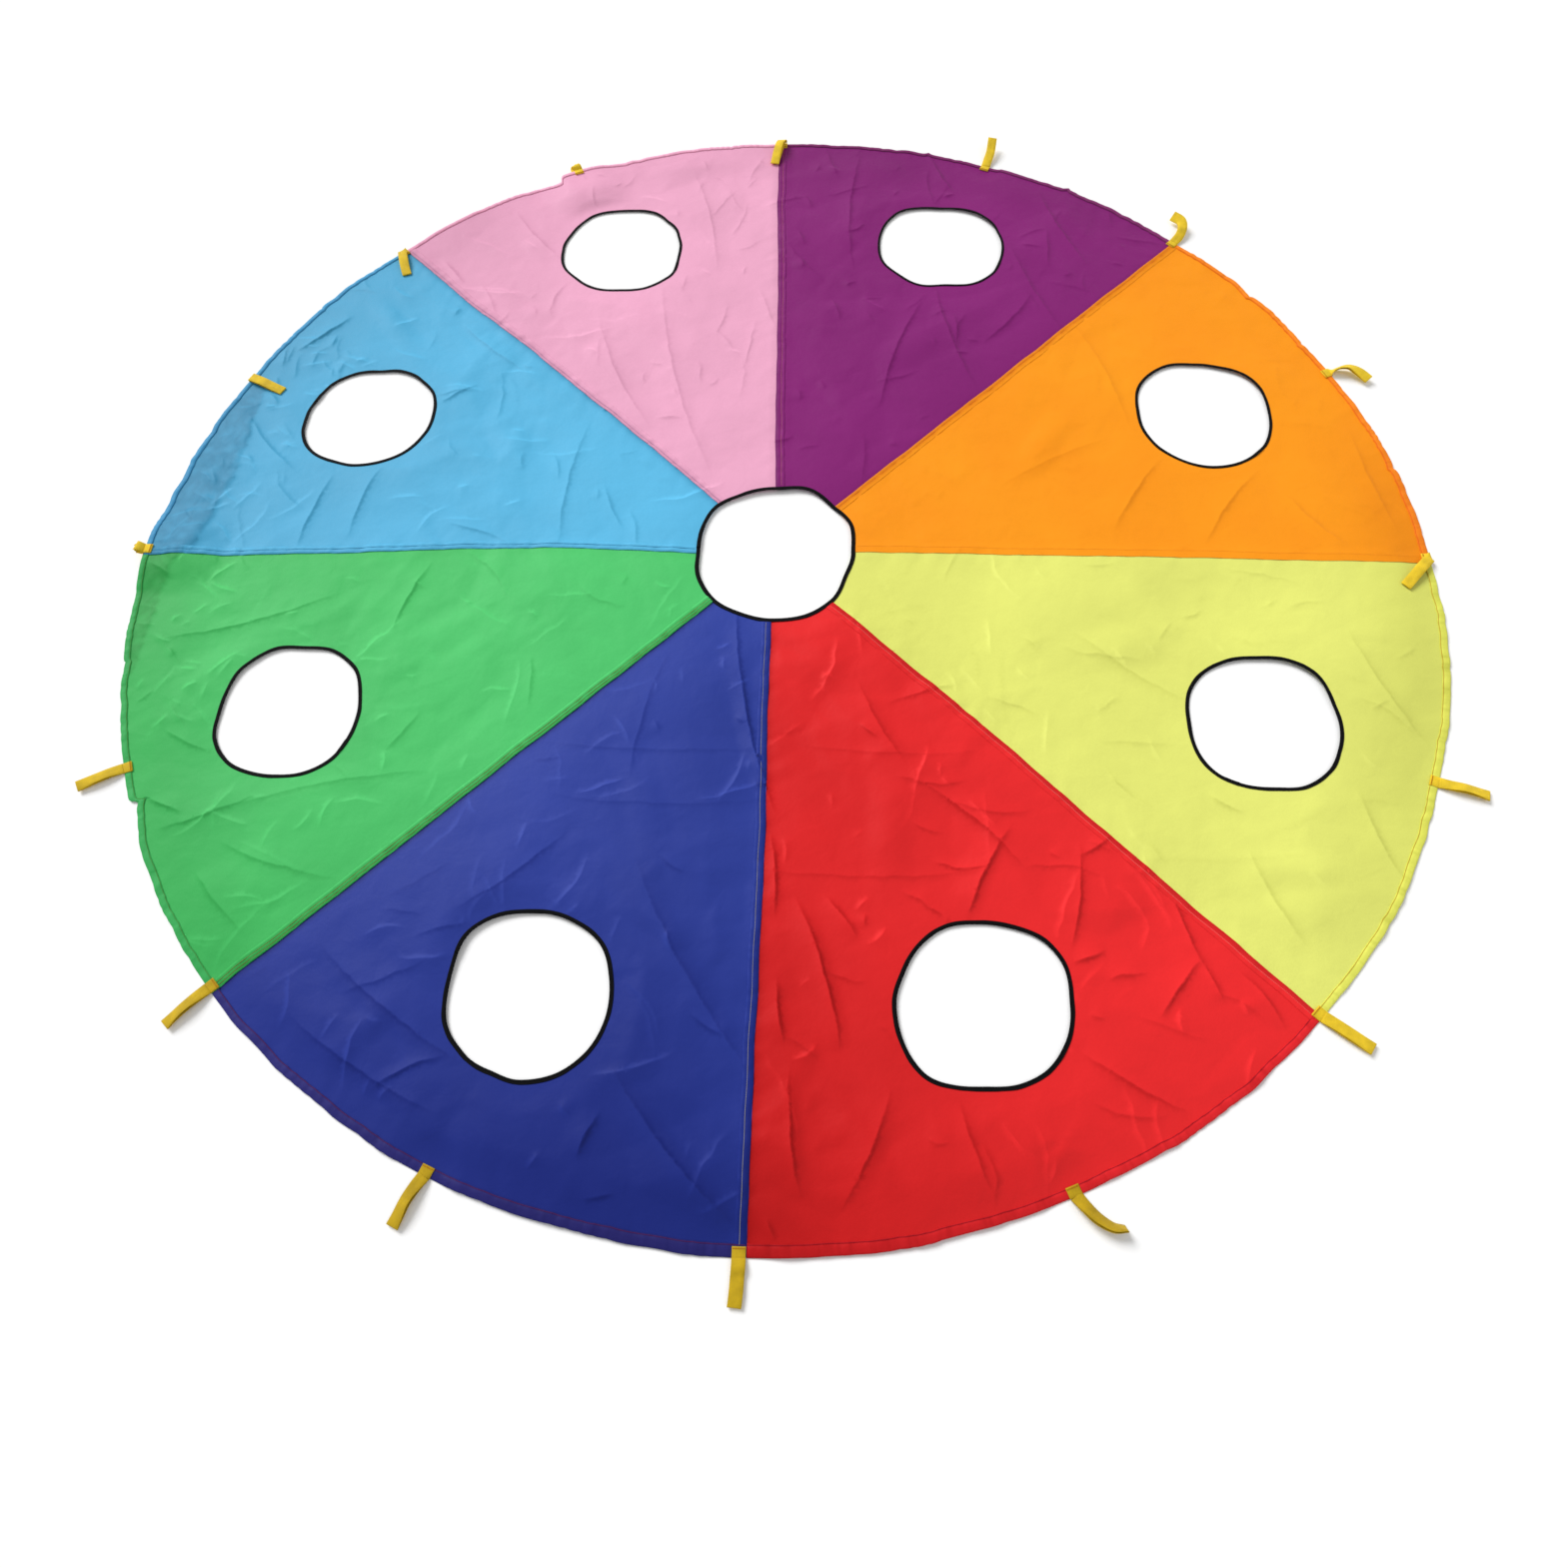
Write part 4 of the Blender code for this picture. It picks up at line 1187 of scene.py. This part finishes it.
def loft(name, columns, material, uv=None):
    """Skins lines of points into a closed bar, with a UV in metres where uv is given."""
    sections = np.stack(columns, axis=1)
    rows, count = sections.shape[:2]
    faces = grid_faces(rows, count)
    faces.append(tuple(range(count)))
    faces.append(tuple(range((rows - 1) * count, rows * count))[::-1])
    verts = sections.reshape(-1, 3)
    piece = new_object(name, verts, faces, material)
    bm = bmesh.new()
    bm.from_mesh(piece.data)
    bmesh.ops.recalc_face_normals(bm, faces=bm.faces)
    bm.to_mesh(piece.data)
    bm.free()
    if uv is not None:
        layer = piece.data.uv_layers.new(name="weave")
        for loop in piece.data.loops:
            row, i = divmod(loop.vertex_index, count)
            layer.data[loop.index].uv = uv(row, i)
    return piece


def hem_inset(angle):
    """How far inside the rim the hem is sewn."""
    return 1e-3 * by_direction(hem_insets, angle)


def make_hem(panel):
    """The rim's folded hem: a flat tube over the gore's edge, with the fold outside."""
    name = panel_names[panel]
    gap = 0.0002 / rim_radius
    angles = np.linspace(panel * gore_angle + gap, (panel + 1) * gore_angle - gap, 421)
    # Places in shares of the hem's width inside the rim, with their heights in metres
    profile = (
        (1.12, 0.0006), (1.12, 0.0011), (1.06, 0.0015), (1.00, 0.0012), (0.93, 0.0019),
        (0.6, 0.0023), (0.25, 0.0022), (0.06, 0.0017), (0.0, 0.0010), (0.07, 0.0002),
        (0.3, 0.0000), (0.9, 0.0000),
    )  # fmt: skip
    place = angles * rim_radius
    puff = 1 + 0.30 * line_noise(place / 0.016, 61)
    columns = []
    for share, above in profile:
        line = polar(rim_radius - share * hem_inset(angles), angles)
        columns.append(lay(line, above * puff if above > 0.0012 else above))
    piece = loft(f"hem_{name}", columns, hem_materials[name])
    count = len(profile)
    shares = np.tile([share for share, _ in profile], len(angles))
    turned = np.repeat(angles, count)
    flat = polar(rim_radius - shares * hem_inset(turned), turned)
    # Painted shade on the hem: darker in the groove by its stitched inner edge and in dark marks at
    # its puckers, lighter where it puffs up, on top of the cloth's painted shade
    painted_groove_shade = 1 - 0.08 * ((shares > 0.98) & (shares < 1.10))
    painted_pucker_shade = np.repeat(np.maximum(line_noise(place / 0.0085, 64), 0), count)
    tone = (1 + 0.20 * np.repeat(puff - 1, count)) * painted_groove_shade * (1 - 0.16 * painted_pucker_shade * (shares > 0.2))
    set_painted_shade(piece, painted_shade_of(flat, 0.3) * tone, hem_colours[name])
    return piece


def make_band(seam):
    """The folded seam allowance on top of one gore, drawn in along its stitches."""
    side = band_sides[seam]
    owner = seam if side > 0 else (seam - 1) % panel_count
    name = panel_names[owner]
    start = centre_reach(seam, side * seam_width / 2) + 0.004
    radii = np.linspace(start, rim_radius - 0.010, 420)
    # Places aside of the seam with their heights, and a groove at each row of stitches
    top = [(0.0012, 0.0018), (seam_width * 0.45, 0.0020), (seam_width - 0.0025, 0.0017)]
    for row in seam_rows[seam]:
        top += [(row - 0.0016, 0.0019), (row, 0.0013), (row + 0.0016, 0.0019)]
    profile = [(0.0003, 0.0004), (0.0002, 0.0012), *sorted(top)]
    profile += [(seam_width, 0.0013), (seam_width, band_step)]
    puff = 1 + 0.40 * line_noise(radii / 0.018, 62, seam + 0.5)
    columns = []
    for aside, above in profile:
        above = band_heights[seam] * above
        line = seam_places(seam, side * aside, radii)
        columns.append(lay(line, above * puff if above > 0.001 else above))
    piece = loft(f"band_{name}_{seam}", columns, band_materials[name])
    # Painted shade on the band: its doubled cloth's tone and painted shade across it by the seam,
    # lighter where it puffs up, on top of the cloth's painted shade
    asides = [1e3 * aside for aside, _ in profile]
    across = np.tile(np.interp(asides, tone_steps, band_doubling_and_shade[seam]) ** shade_power, len(radii))
    flat = np.repeat(seam_places(seam, 0, radii), len(profile), axis=0)
    tone = (1 + 0.16 * np.repeat(puff - 1, len(profile))) * across
    set_painted_shade(piece, painted_shade_of(flat) * tone, panel_colours[name])
    return piece, owner


def stitches(name, lines, pitch, radius, material, sink=0.0006):
    """Rows of stitches along laid lines: a thread that rises and dips at every stitch."""
    verts, faces = [], []
    for line in lines:
        line = np.asarray(line, float)
        run = run_of(line)
        stations = [
            ((stitch + share) * pitch, dip)
            for stitch in range(max(int(run[-1] / pitch), 1))
            for share, dip in ((0.06, 1), (0.2, 0), (0.8, 0), (0.94, 1))
        ]
        at, dips = np.array(stations).T
        centre = np.column_stack([np.interp(at, run, line[:, i]) for i in range(3)])
        centre[:, 2] -= dips * sink
        tangent = np.gradient(centre, axis=0)
        tangent[:, 2] = 0
        tangent = unit(tangent)
        side = np.column_stack([-tangent[:, 1], tangent[:, 0], np.zeros(len(at))])
        ring = [
            centre + radius * (math.cos(a) * side + math.sin(a) * up_axis)
            for a in (0.79, 2.36, 3.93, 5.5)
        ]
        faces += grid_faces(len(at), len(ring), sum(len(v) for v in verts))
        verts.append(np.stack(ring, axis=1).reshape(-1, 3))
    return new_object(name, np.concatenate(verts), faces, material)


def hem_stitch(panel):
    """The row of stitches along the hem's inner edge."""
    angles = np.linspace(panel * gore_angle, (panel + 1) * gore_angle, 500)
    line = lay(polar(rim_radius - hem_inset(angles), angles), hem_stitch_height)
    name = panel_names[panel]
    return stitches(
        f"stitching_hem_{name}", [line], stitch_pitch, stitch_radius, hem_threads[name]
    )


def seam_stitch(seam):
    """The rows of stitches along a seam's folded band."""
    side = band_sides[seam]
    start = centre_reach(seam, side * seam_width) + 0.010
    radii = np.linspace(start, rim_radius - 0.018, 400)
    out, across = seam_frame(seam)
    lines = []
    for aside in seam_rows[seam]:
        drift = aside + 0.0012 * line_noise(radii / 0.16, 63, seam + 0.5)
        flat = radii[:, None] * out + side * drift[:, None] * across
        lines.append(lay(flat, 0.0006 + 0.0012 * band_heights[seam]))
    return stitches(
        f"stitching_seam_{seam}", lines, stitch_pitch, stitch_radius, seam_threads[seam]
    )


def make_binding(name):
    """Black tape rolled over a hole's edge, with its tail lapped over its start."""
    steps = 220 if name == "centre" else 180
    seed = 70 + list(holes).index(name)
    start = tape_starts.get(name, -0.6)
    angles = start + np.linspace(0, 2 * math.pi + tape_overlap, steps + 1)
    turn = (angles - start) / (2 * math.pi)
    lapped = ease((turn - 1 + 0.01) / 0.012) * lap_rise
    wide = 1e-3 * tape_widths[name] + 0.0008 * line_noise(angles * 5, seed)
    thick = 0.0021 + 0.0004 * line_noise(angles * 9, seed, 1.5)
    centre = hole_centre(name)
    edge = hole_radius(name, angles)
    mid_height = 0.0009 + 0.0006 * (name == "centre")
    seat = cloth_height(*(centre + polar(edge + 0.003, angles)).T)
    columns = []
    for share in np.linspace(0, 2 * math.pi, 14, endpoint=False):
        c, s = math.cos(share), math.sin(share)
        c, s = abs(c) ** 0.7 * np.sign(c), abs(s) ** 0.8 * np.sign(s)
        reach = edge + wide / 2 - 0.0022 + c * (wide / 2) - 0.0004 * lapped / lap_rise
        z = seat + mid_height + s * thick / 2 + lapped
        columns.append(np.column_stack([centre + polar(reach, angles), np.maximum(z, 0.0001)]))
    around = float(hole_radius(name, np.array(0.0)))
    piece = loft(
        f"binding_{name}",
        columns,
        tape_material,
        lambda row, i: (angles[row] * around, i * 0.0016),
    )
    line = centre + polar(edge + wide - 0.0040, angles)
    row = np.column_stack([line, cloth_height(*line.T) + mid_height + 0.00095 + lapped])
    sewn = stitches(f"stitching_binding_{name}", [row], 0.0038, 0.00035, tape_thread, 0.0004)
    return piece, sewn


# Handles: the loop's middle line as (outward, along the rim, height) in millimetres from
# its hinge, the strip's twist in degrees at each point, and how far its layers part
handle_lines = {
    0: (((0, 0, 1), (-5, -5, 3.4), (-36, -38, 6), (-70, -76, 4), (-75, -81, 3.5)), (0,) * 5, 3.2),
    1: (
        ((0, 0, -1), (9, -2, 3), (24, -5, 8), (44, -14, 11), (58, -36, 10), (68, -64, 7)),
        (-6, -46, -42, -20, 2, 10),
        2.6,
    ),
    2: (
        ((0, 0, -1), (26, 2, 5), (52, 14, 10), (66, 32, 13), (68, 60, 12)),
        (0, 10, 0, -30, -46),
        3.0,
    ),
    3: (((0, 0, -1), (22, 2, 4), (48, 4, 10), (74, 10, 17), (93, 15, 22)), (0, 0, 0, 6, 6), 2.6),
    4: (((0, 0, 1), (-3, 2, 10), (-28, 8, 15), (-64, 16, 9), (-98, 22, 4)), (0, 4, 12, 8, 0), 8.0),
    6: (((0, 0, 1), (-5, 4, 3.6), (-38, 21, 8), (-70, 38, 5), (-92, 48, 3)), (0,) * 5, 3.6),
    7: (((0, 0, 1), (-5, 1, 3.6), (-42, 5, 6), (-78, 8, 4), (-110, 10, 3)), (0,) * 5, 3.2),
    9: (((0, 0, -1), (24, 2, 2), (51, 5, 3), (78, 8, 3), (97, 10, 3)), (0, 8, 10, 2, -6), 3.0),
    10: (((0, 0, -1), (24, 1, 2), (51, 2, 3), (78, 4, 2), (97, 6, 1)), (0, 12, 22, 20, 8), 3.4),
    11: (((0, 0, -1), (24, -4, 2), (50, -6, 4), (76, -5, 3), (95, -5, 1)), (0, 18, 26, 20, 6), 3.4),
    12: (((0, 0, -1), (15, 0, 3), (31, -1, -1), (54, -2, 0), (77, -4, 0)), (0,) * 5, 3.0),
    13: (
        ((0, 0, -1), (22, 6, 6), (46, 16, 8), (68, 34, 6), (78, 54, 5)),
        (0, -26, -36, -48, -64),
        3.0,
    ),
    14: (((0, 0, -1), (24, 3, 1), (51, 7, 1), (78, 11, 1), (97, 14, 1)), (0, -8, -10, -8, -2), 3.0),
    15: (((0, 0, -1), (24, 2, 1), (51, 5, 3), (78, 7, 2), (97, 8, 1)), (0, -14, -20, -18, -8), 3.4),
}
# The tucked loops turn under the rim a little way out
tucked_lines = {
    5: (
        ((0, 0, -1), (6, 1, 4), (13, 4, 4), (16, 6, -2), (8, 8, -9), (-66, 16, -10)),
        (0,) * 6,
        3.0,
    ),
    8: (
        ((0, 0, -1), (8, -1, 5), (16, -3, 6), (19, -4, 0), (10, -3, -8), (-70, 0, -10)),
        (0,) * 6,
        3.0,
    ),
}


def smooth_line(points, count):
    """A smooth line through points, at even steps along it, and each one's share."""
    points = np.asarray(points, float)
    padded = np.vstack([2 * points[0] - points[1], points, 2 * points[-1] - points[-2]])
    line = []
    for i in range(len(points) - 1):
        p0, p1, p2, p3 = padded[i : i + 4]
        square, cube = 2 * p0 - 5 * p1 + 4 * p2 - p3, 3 * p1 - p0 - 3 * p2 + p3
        for t in np.linspace(0, 1, 24, endpoint=False):
            line.append(0.5 * (2 * p1 + (p2 - p0) * t + square * t**2 + cube * t**3))
    line.append(points[-1])
    line = np.array(line)
    run = run_of(line[:, :3])
    at = np.linspace(0, run[-1], count)
    return np.column_stack([np.interp(at, run, line[:, i]) for i in range(line.shape[1])])


def handle_joint(index):
    """The CAD's hinge of one handle."""
    return next(j for j in frame["joints"] if j["name"] == f"handle_hinge_{index + 1:02d}")


def handle_frame(index):
    """A handle's hinge, where the photograph has it, and its directions outward and along."""
    _, out, along = handle_place(index)
    out, along = np.array((*out, 0)), np.array((*along, 0))
    return np.array(handle_joint(index)["pos_m"]) + 1e-3 * handle_slips[index] * along, out, along


def strip(name, centre, across, index):
    """A handle's webbing along a line: a rounded flat section, wider than it is thick."""
    tangent = unit(np.gradient(centre, axis=0))
    width = unit(across - (across * tangent).sum(1)[:, None] * tangent)
    normal = np.cross(tangent, width)
    half, thin = webbing_width / 2, webbing_thickness / 2
    lower = [(-half, -0.35 * thin), (-half + 0.0005, -thin), (-half * 0.33, -thin * 1.05)]
    lower += [(-a, b) for a, b in reversed(lower)]
    shape = lower + [(-a, -b) for a, b in lower]
    columns = [centre + a * width + b * normal for a, b in shape]
    run = run_of(centre)
    piece = loft(name, columns, webbing_material, lambda row, i: (run[row], shape[i][0] + half))
    # Painted light and shade on the webbing, one value for each handle
    set_painted_shade(piece, handle_painted_light[index], webbing_colour)
    return piece


def make_loop(index):
    """A handle's free loop: two layers of webbing that part a little, joined at the tip."""
    hinge, out, along = handle_frame(index)
    points, twists, mouth = handle_lines.get(index) or tucked_lines[index]
    rows = np.column_stack([np.array(points, float) * 1e-3, np.radians(twists)])
    line = smooth_line(rows, 44)
    share = np.linspace(0, 1, len(line))
    centre = hinge + line[:, :1] * out + line[:, 1:2] * along + line[:, 2:3] * up_axis
    tangent = unit(np.gradient(centre, axis=0))
    flat_side = unit(np.cross(up_axis, tangent))
    across = flat_side * (1 if flat_side[0] @ along >= 0 else -1)
    for before, after in zip(across, across[1:]):
        if before @ after < 0:
            after *= -1
    root_share = ease(1 - share / 0.25)[:, None]
    across = across * (1 - root_share) + np.tile(along, (len(line), 1)) * root_share
    twist = line[:, 3:4]
    width = np.cos(twist) * across + np.sin(twist) * unit(np.cross(tangent, across))
    normal = unit(np.cross(tangent, width))
    opening = mouth * 0.5e-3 * np.sin(math.pi * share) ** 1.2
    half_gap = (0.00068 + 0.0005 * share + opening)[:, None]
    turn = [
        centre[-1]
        + half_gap[-1] * (math.cos(angle) * normal[-1] + math.sin(angle) * tangent[-1] * 1.2)
        for angle in np.linspace(0, math.pi, 9)[1:-1]
    ]
    path = np.concatenate([centre + normal * half_gap, turn, (centre - normal * half_gap)[::-1]])
    path_side = np.concatenate([width, np.tile(width[-1], (len(turn), 1)), width[::-1]])
    if index not in tucked_handles:
        path[:, 2] = np.maximum(path[:, 2], 0.00075)
    piece = strip(f"loop_{index + 1:02d}", path, path_side, index)
    lowest = min(v.co.z for v in piece.data.vertices)
    if lowest < least_height:
        for vert in piece.data.vertices:
            vert.co.z = max(vert.co.z, least_height + (vert.co.z - lowest) * 0.1)
    return piece


def make_root(index):
    """A handle's stitched root: two layers on the hem, rounded over at the rim."""
    hinge, out, along = handle_frame(index)
    low, high = -0.0022, -0.0007
    points = [(inset, low) for inset in (-0.0186, -0.013, -0.004, 0.0004)]
    points += [(0.0013, low + 0.0005), (0.0013, high - 0.0004)]
    points += [(inset, high) for inset in (0.0004, -0.004, -0.013, -0.0186)]
    centre = np.array([hinge + a * out + b * up_axis for a, b in points])
    sides = np.tile(along, (len(points), 1))
    piece = strip(f"root_{index + 1:02d}", centre, sides, index)
    rows = []
    for inset in (-0.0160, -0.0146):
        middle, half = hinge + inset * out + 0.00022 * up_axis, 0.0118 * along
        rows.append(np.linspace(middle - half, middle + half, 8))
    sewn = stitches(f"bartack_{index + 1:02d}", rows, 0.0026, 0.00045, tack_material, 0.0005)
    return piece, sewn


def make_fold_strip(seam):
    """Cloth under a seam on the fold line."""
    owner = panel_names[seam]
    radii = np.linspace(centre_reach(seam, 0) + 0.004, rim_radius - 0.004, 330)
    asides = np.linspace(-strip_reach, strip_reach, 9)
    columns = [lay(seam_places(seam, aside, radii), -0.0006) for aside in asides]
    verts = np.stack(columns, axis=1).reshape(-1, 3)
    faces = grid_faces(len(radii), len(asides), ring=False)
    piece = new_object(f"fold_strip_{seam}", verts, faces, nylon_materials[owner])
    # Painted shade: the cloth under the seam is darker
    set_painted_shade(piece, 0.9, panel_colours[owner])
    return piece


nylon_materials = {n: nylon(f"nylon_{n}", c) for n, c in panel_colours.items()}
hem_materials = {n: nylon(f"hem_nylon_{n}", c, 0.4) for n, c in hem_colours.items()}
band_materials = {n: nylon(f"band_nylon_{n}", c, 0.35) for n, c in panel_colours.items()}
hem_threads = {n: thread(f"thread_hem_{n}", c) for n, c in hem_thread_colours.items()}
seam_threads = [thread(f"thread_seam_{s}", c) for s, c in enumerate(seam_thread_colours)]
webbing_material = woven_tape("webbing_yellow", webbing_colour, shaded=True)
tape_material = woven_tape("tape_black", tape_colour, 900.0, 0.0, 0.05)
tack_material = thread("thread_tack", tack_colour)
tape_thread = thread("thread_tape", tape_thread_colour)


def place_piece(piece, body):
    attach(piece, body)


def dress():
    """Makes every piece of the parachute and hangs it on the CAD's bodies, but for the middle
    hole's tape and the cloth under the seams on the fold line, which stay where they are laid.
    """
    gores, extras = [], {name: [] for name in panel_names}
    for panel, name in enumerate(panel_names):
        gore = make_gore(panel)
        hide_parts(f"panel_{name}")
        gores.append(gore)
        extras[name] += [make_hem(panel), hem_stitch(panel)]
        for piece in (gore, *extras[name]):
            place_piece(piece, body_for(panel))
    for seam in range(panel_count):
        band, owner = make_band(seam)
        sewn = seam_stitch(seam)
        for piece in (band, sewn):
            place_piece(piece, body_for(owner))
        extras[panel_names[owner]] += [band, sewn]
    for name in holes:
        binding, sewn = make_binding(name)
        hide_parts(f"hole_binding_{name}")
        for piece in (binding, sewn):
            if name == "centre":
                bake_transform(piece)
            else:
                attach(piece, body_for(panel_names.index(name)))
                extras[name].append(piece)
    for index in range(handle_count):
        joint = handle_joint(index)
        hinge = tuple(handle_frame(index)[0])
        root, sewn = make_root(index)
        for piece in (root, sewn):
            place_piece(piece, joint["parent"])
        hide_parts(f"handle_root_{index + 1:02d}")
        loop = make_loop(index)
        place_piece(loop, joint["child"])
        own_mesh(loop)
        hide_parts(f"handle_loop_{index + 1:02d}")
    for seam in fold_seams:
        name = panel_names[seam]
        piece = make_fold_strip(seam)
        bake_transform(piece)
        extras[name].append(piece)
    area = math.pi * (rim_radius**2 - centre_hole_radius**2) / panel_count
    area -= math.pi * panel_hole_radius**2


def make_stage():
    """The floor, the lights and the camera."""
    bpy.ops.mesh.primitive_plane_add(size=60, location=(0, 0, floor_height))
    floor = bpy.context.object
    floor.name = "floor"
    material, tree, shader = new_material("floor_pale")
    place = add(tree, "TexCoord", "Object")
    speck = add(tree, "TexNoise", "Fac", Vector=place, Scale=3.0, Detail=2.0)
    floor_colour = tones(tree, speck, (255, 255, 255), 0.975, 0.995)
    wire(shader, Base_Color=floor_colour, Roughness=0.9, Specular_IOR_Level=0.1)
    floor.data.materials.append(material)

    # The background is white to the camera and dimmer to the cloth
    world = bpy.data.worlds.new("studio")
    bpy.context.scene.world = world
    world.use_nodes = True
    tree = world.node_tree
    rays = tree.nodes.new("ShaderNodeLightPath")
    seen = rays.outputs["Is Camera Ray"]
    for kind in ("Is Glossy Ray", "Is Transmission Ray"):
        seen = of_two(tree, "MAXIMUM", seen, rays.outputs[kind])
    strength = add(tree, "MapRange", "Result", Value=seen, To_Min=sky_strength, To_Max=1.0)
    wire(tree.nodes["Background"], Color=(1, 1, 1, 1), Strength=strength)

    # Two suns: name, where it stands, its angle in degrees, its power
    suns = (("key", key_place, 32, 2.95), ("fill", (0.7, -0.3, 0.8), 50, 0.37))
    for name, place, angle, power in suns:
        lamp = bpy.data.lights.new(name, "SUN")
        lamp.energy = power
        lamp.angle = math.radians(angle)
        turn = Vector(place).to_track_quat("Z", "Y")
        linked(name, lamp).rotation_euler = turn.to_euler()

    forward, right, up = camera_axes()
    camera = bpy.data.cameras.new("camera")
    camera.lens = lens_mm
    camera.sensor_width = sensor_mm
    camera.sensor_fit = "HORIZONTAL"
    camera.clip_start = 0.05
    camera.clip_end = 100
    camera_object = linked("camera", camera)
    rows = np.eye(4)
    rows[:3, :3] = np.column_stack([right, up, -forward])
    rows[:3, 3] = camera_place
    camera_object.matrix_world = Matrix(rows.tolist())
    bpy.context.scene.camera = camera_object
    bpy.context.scene.view_settings.view_transform = "Standard"


make_stage()
dress()
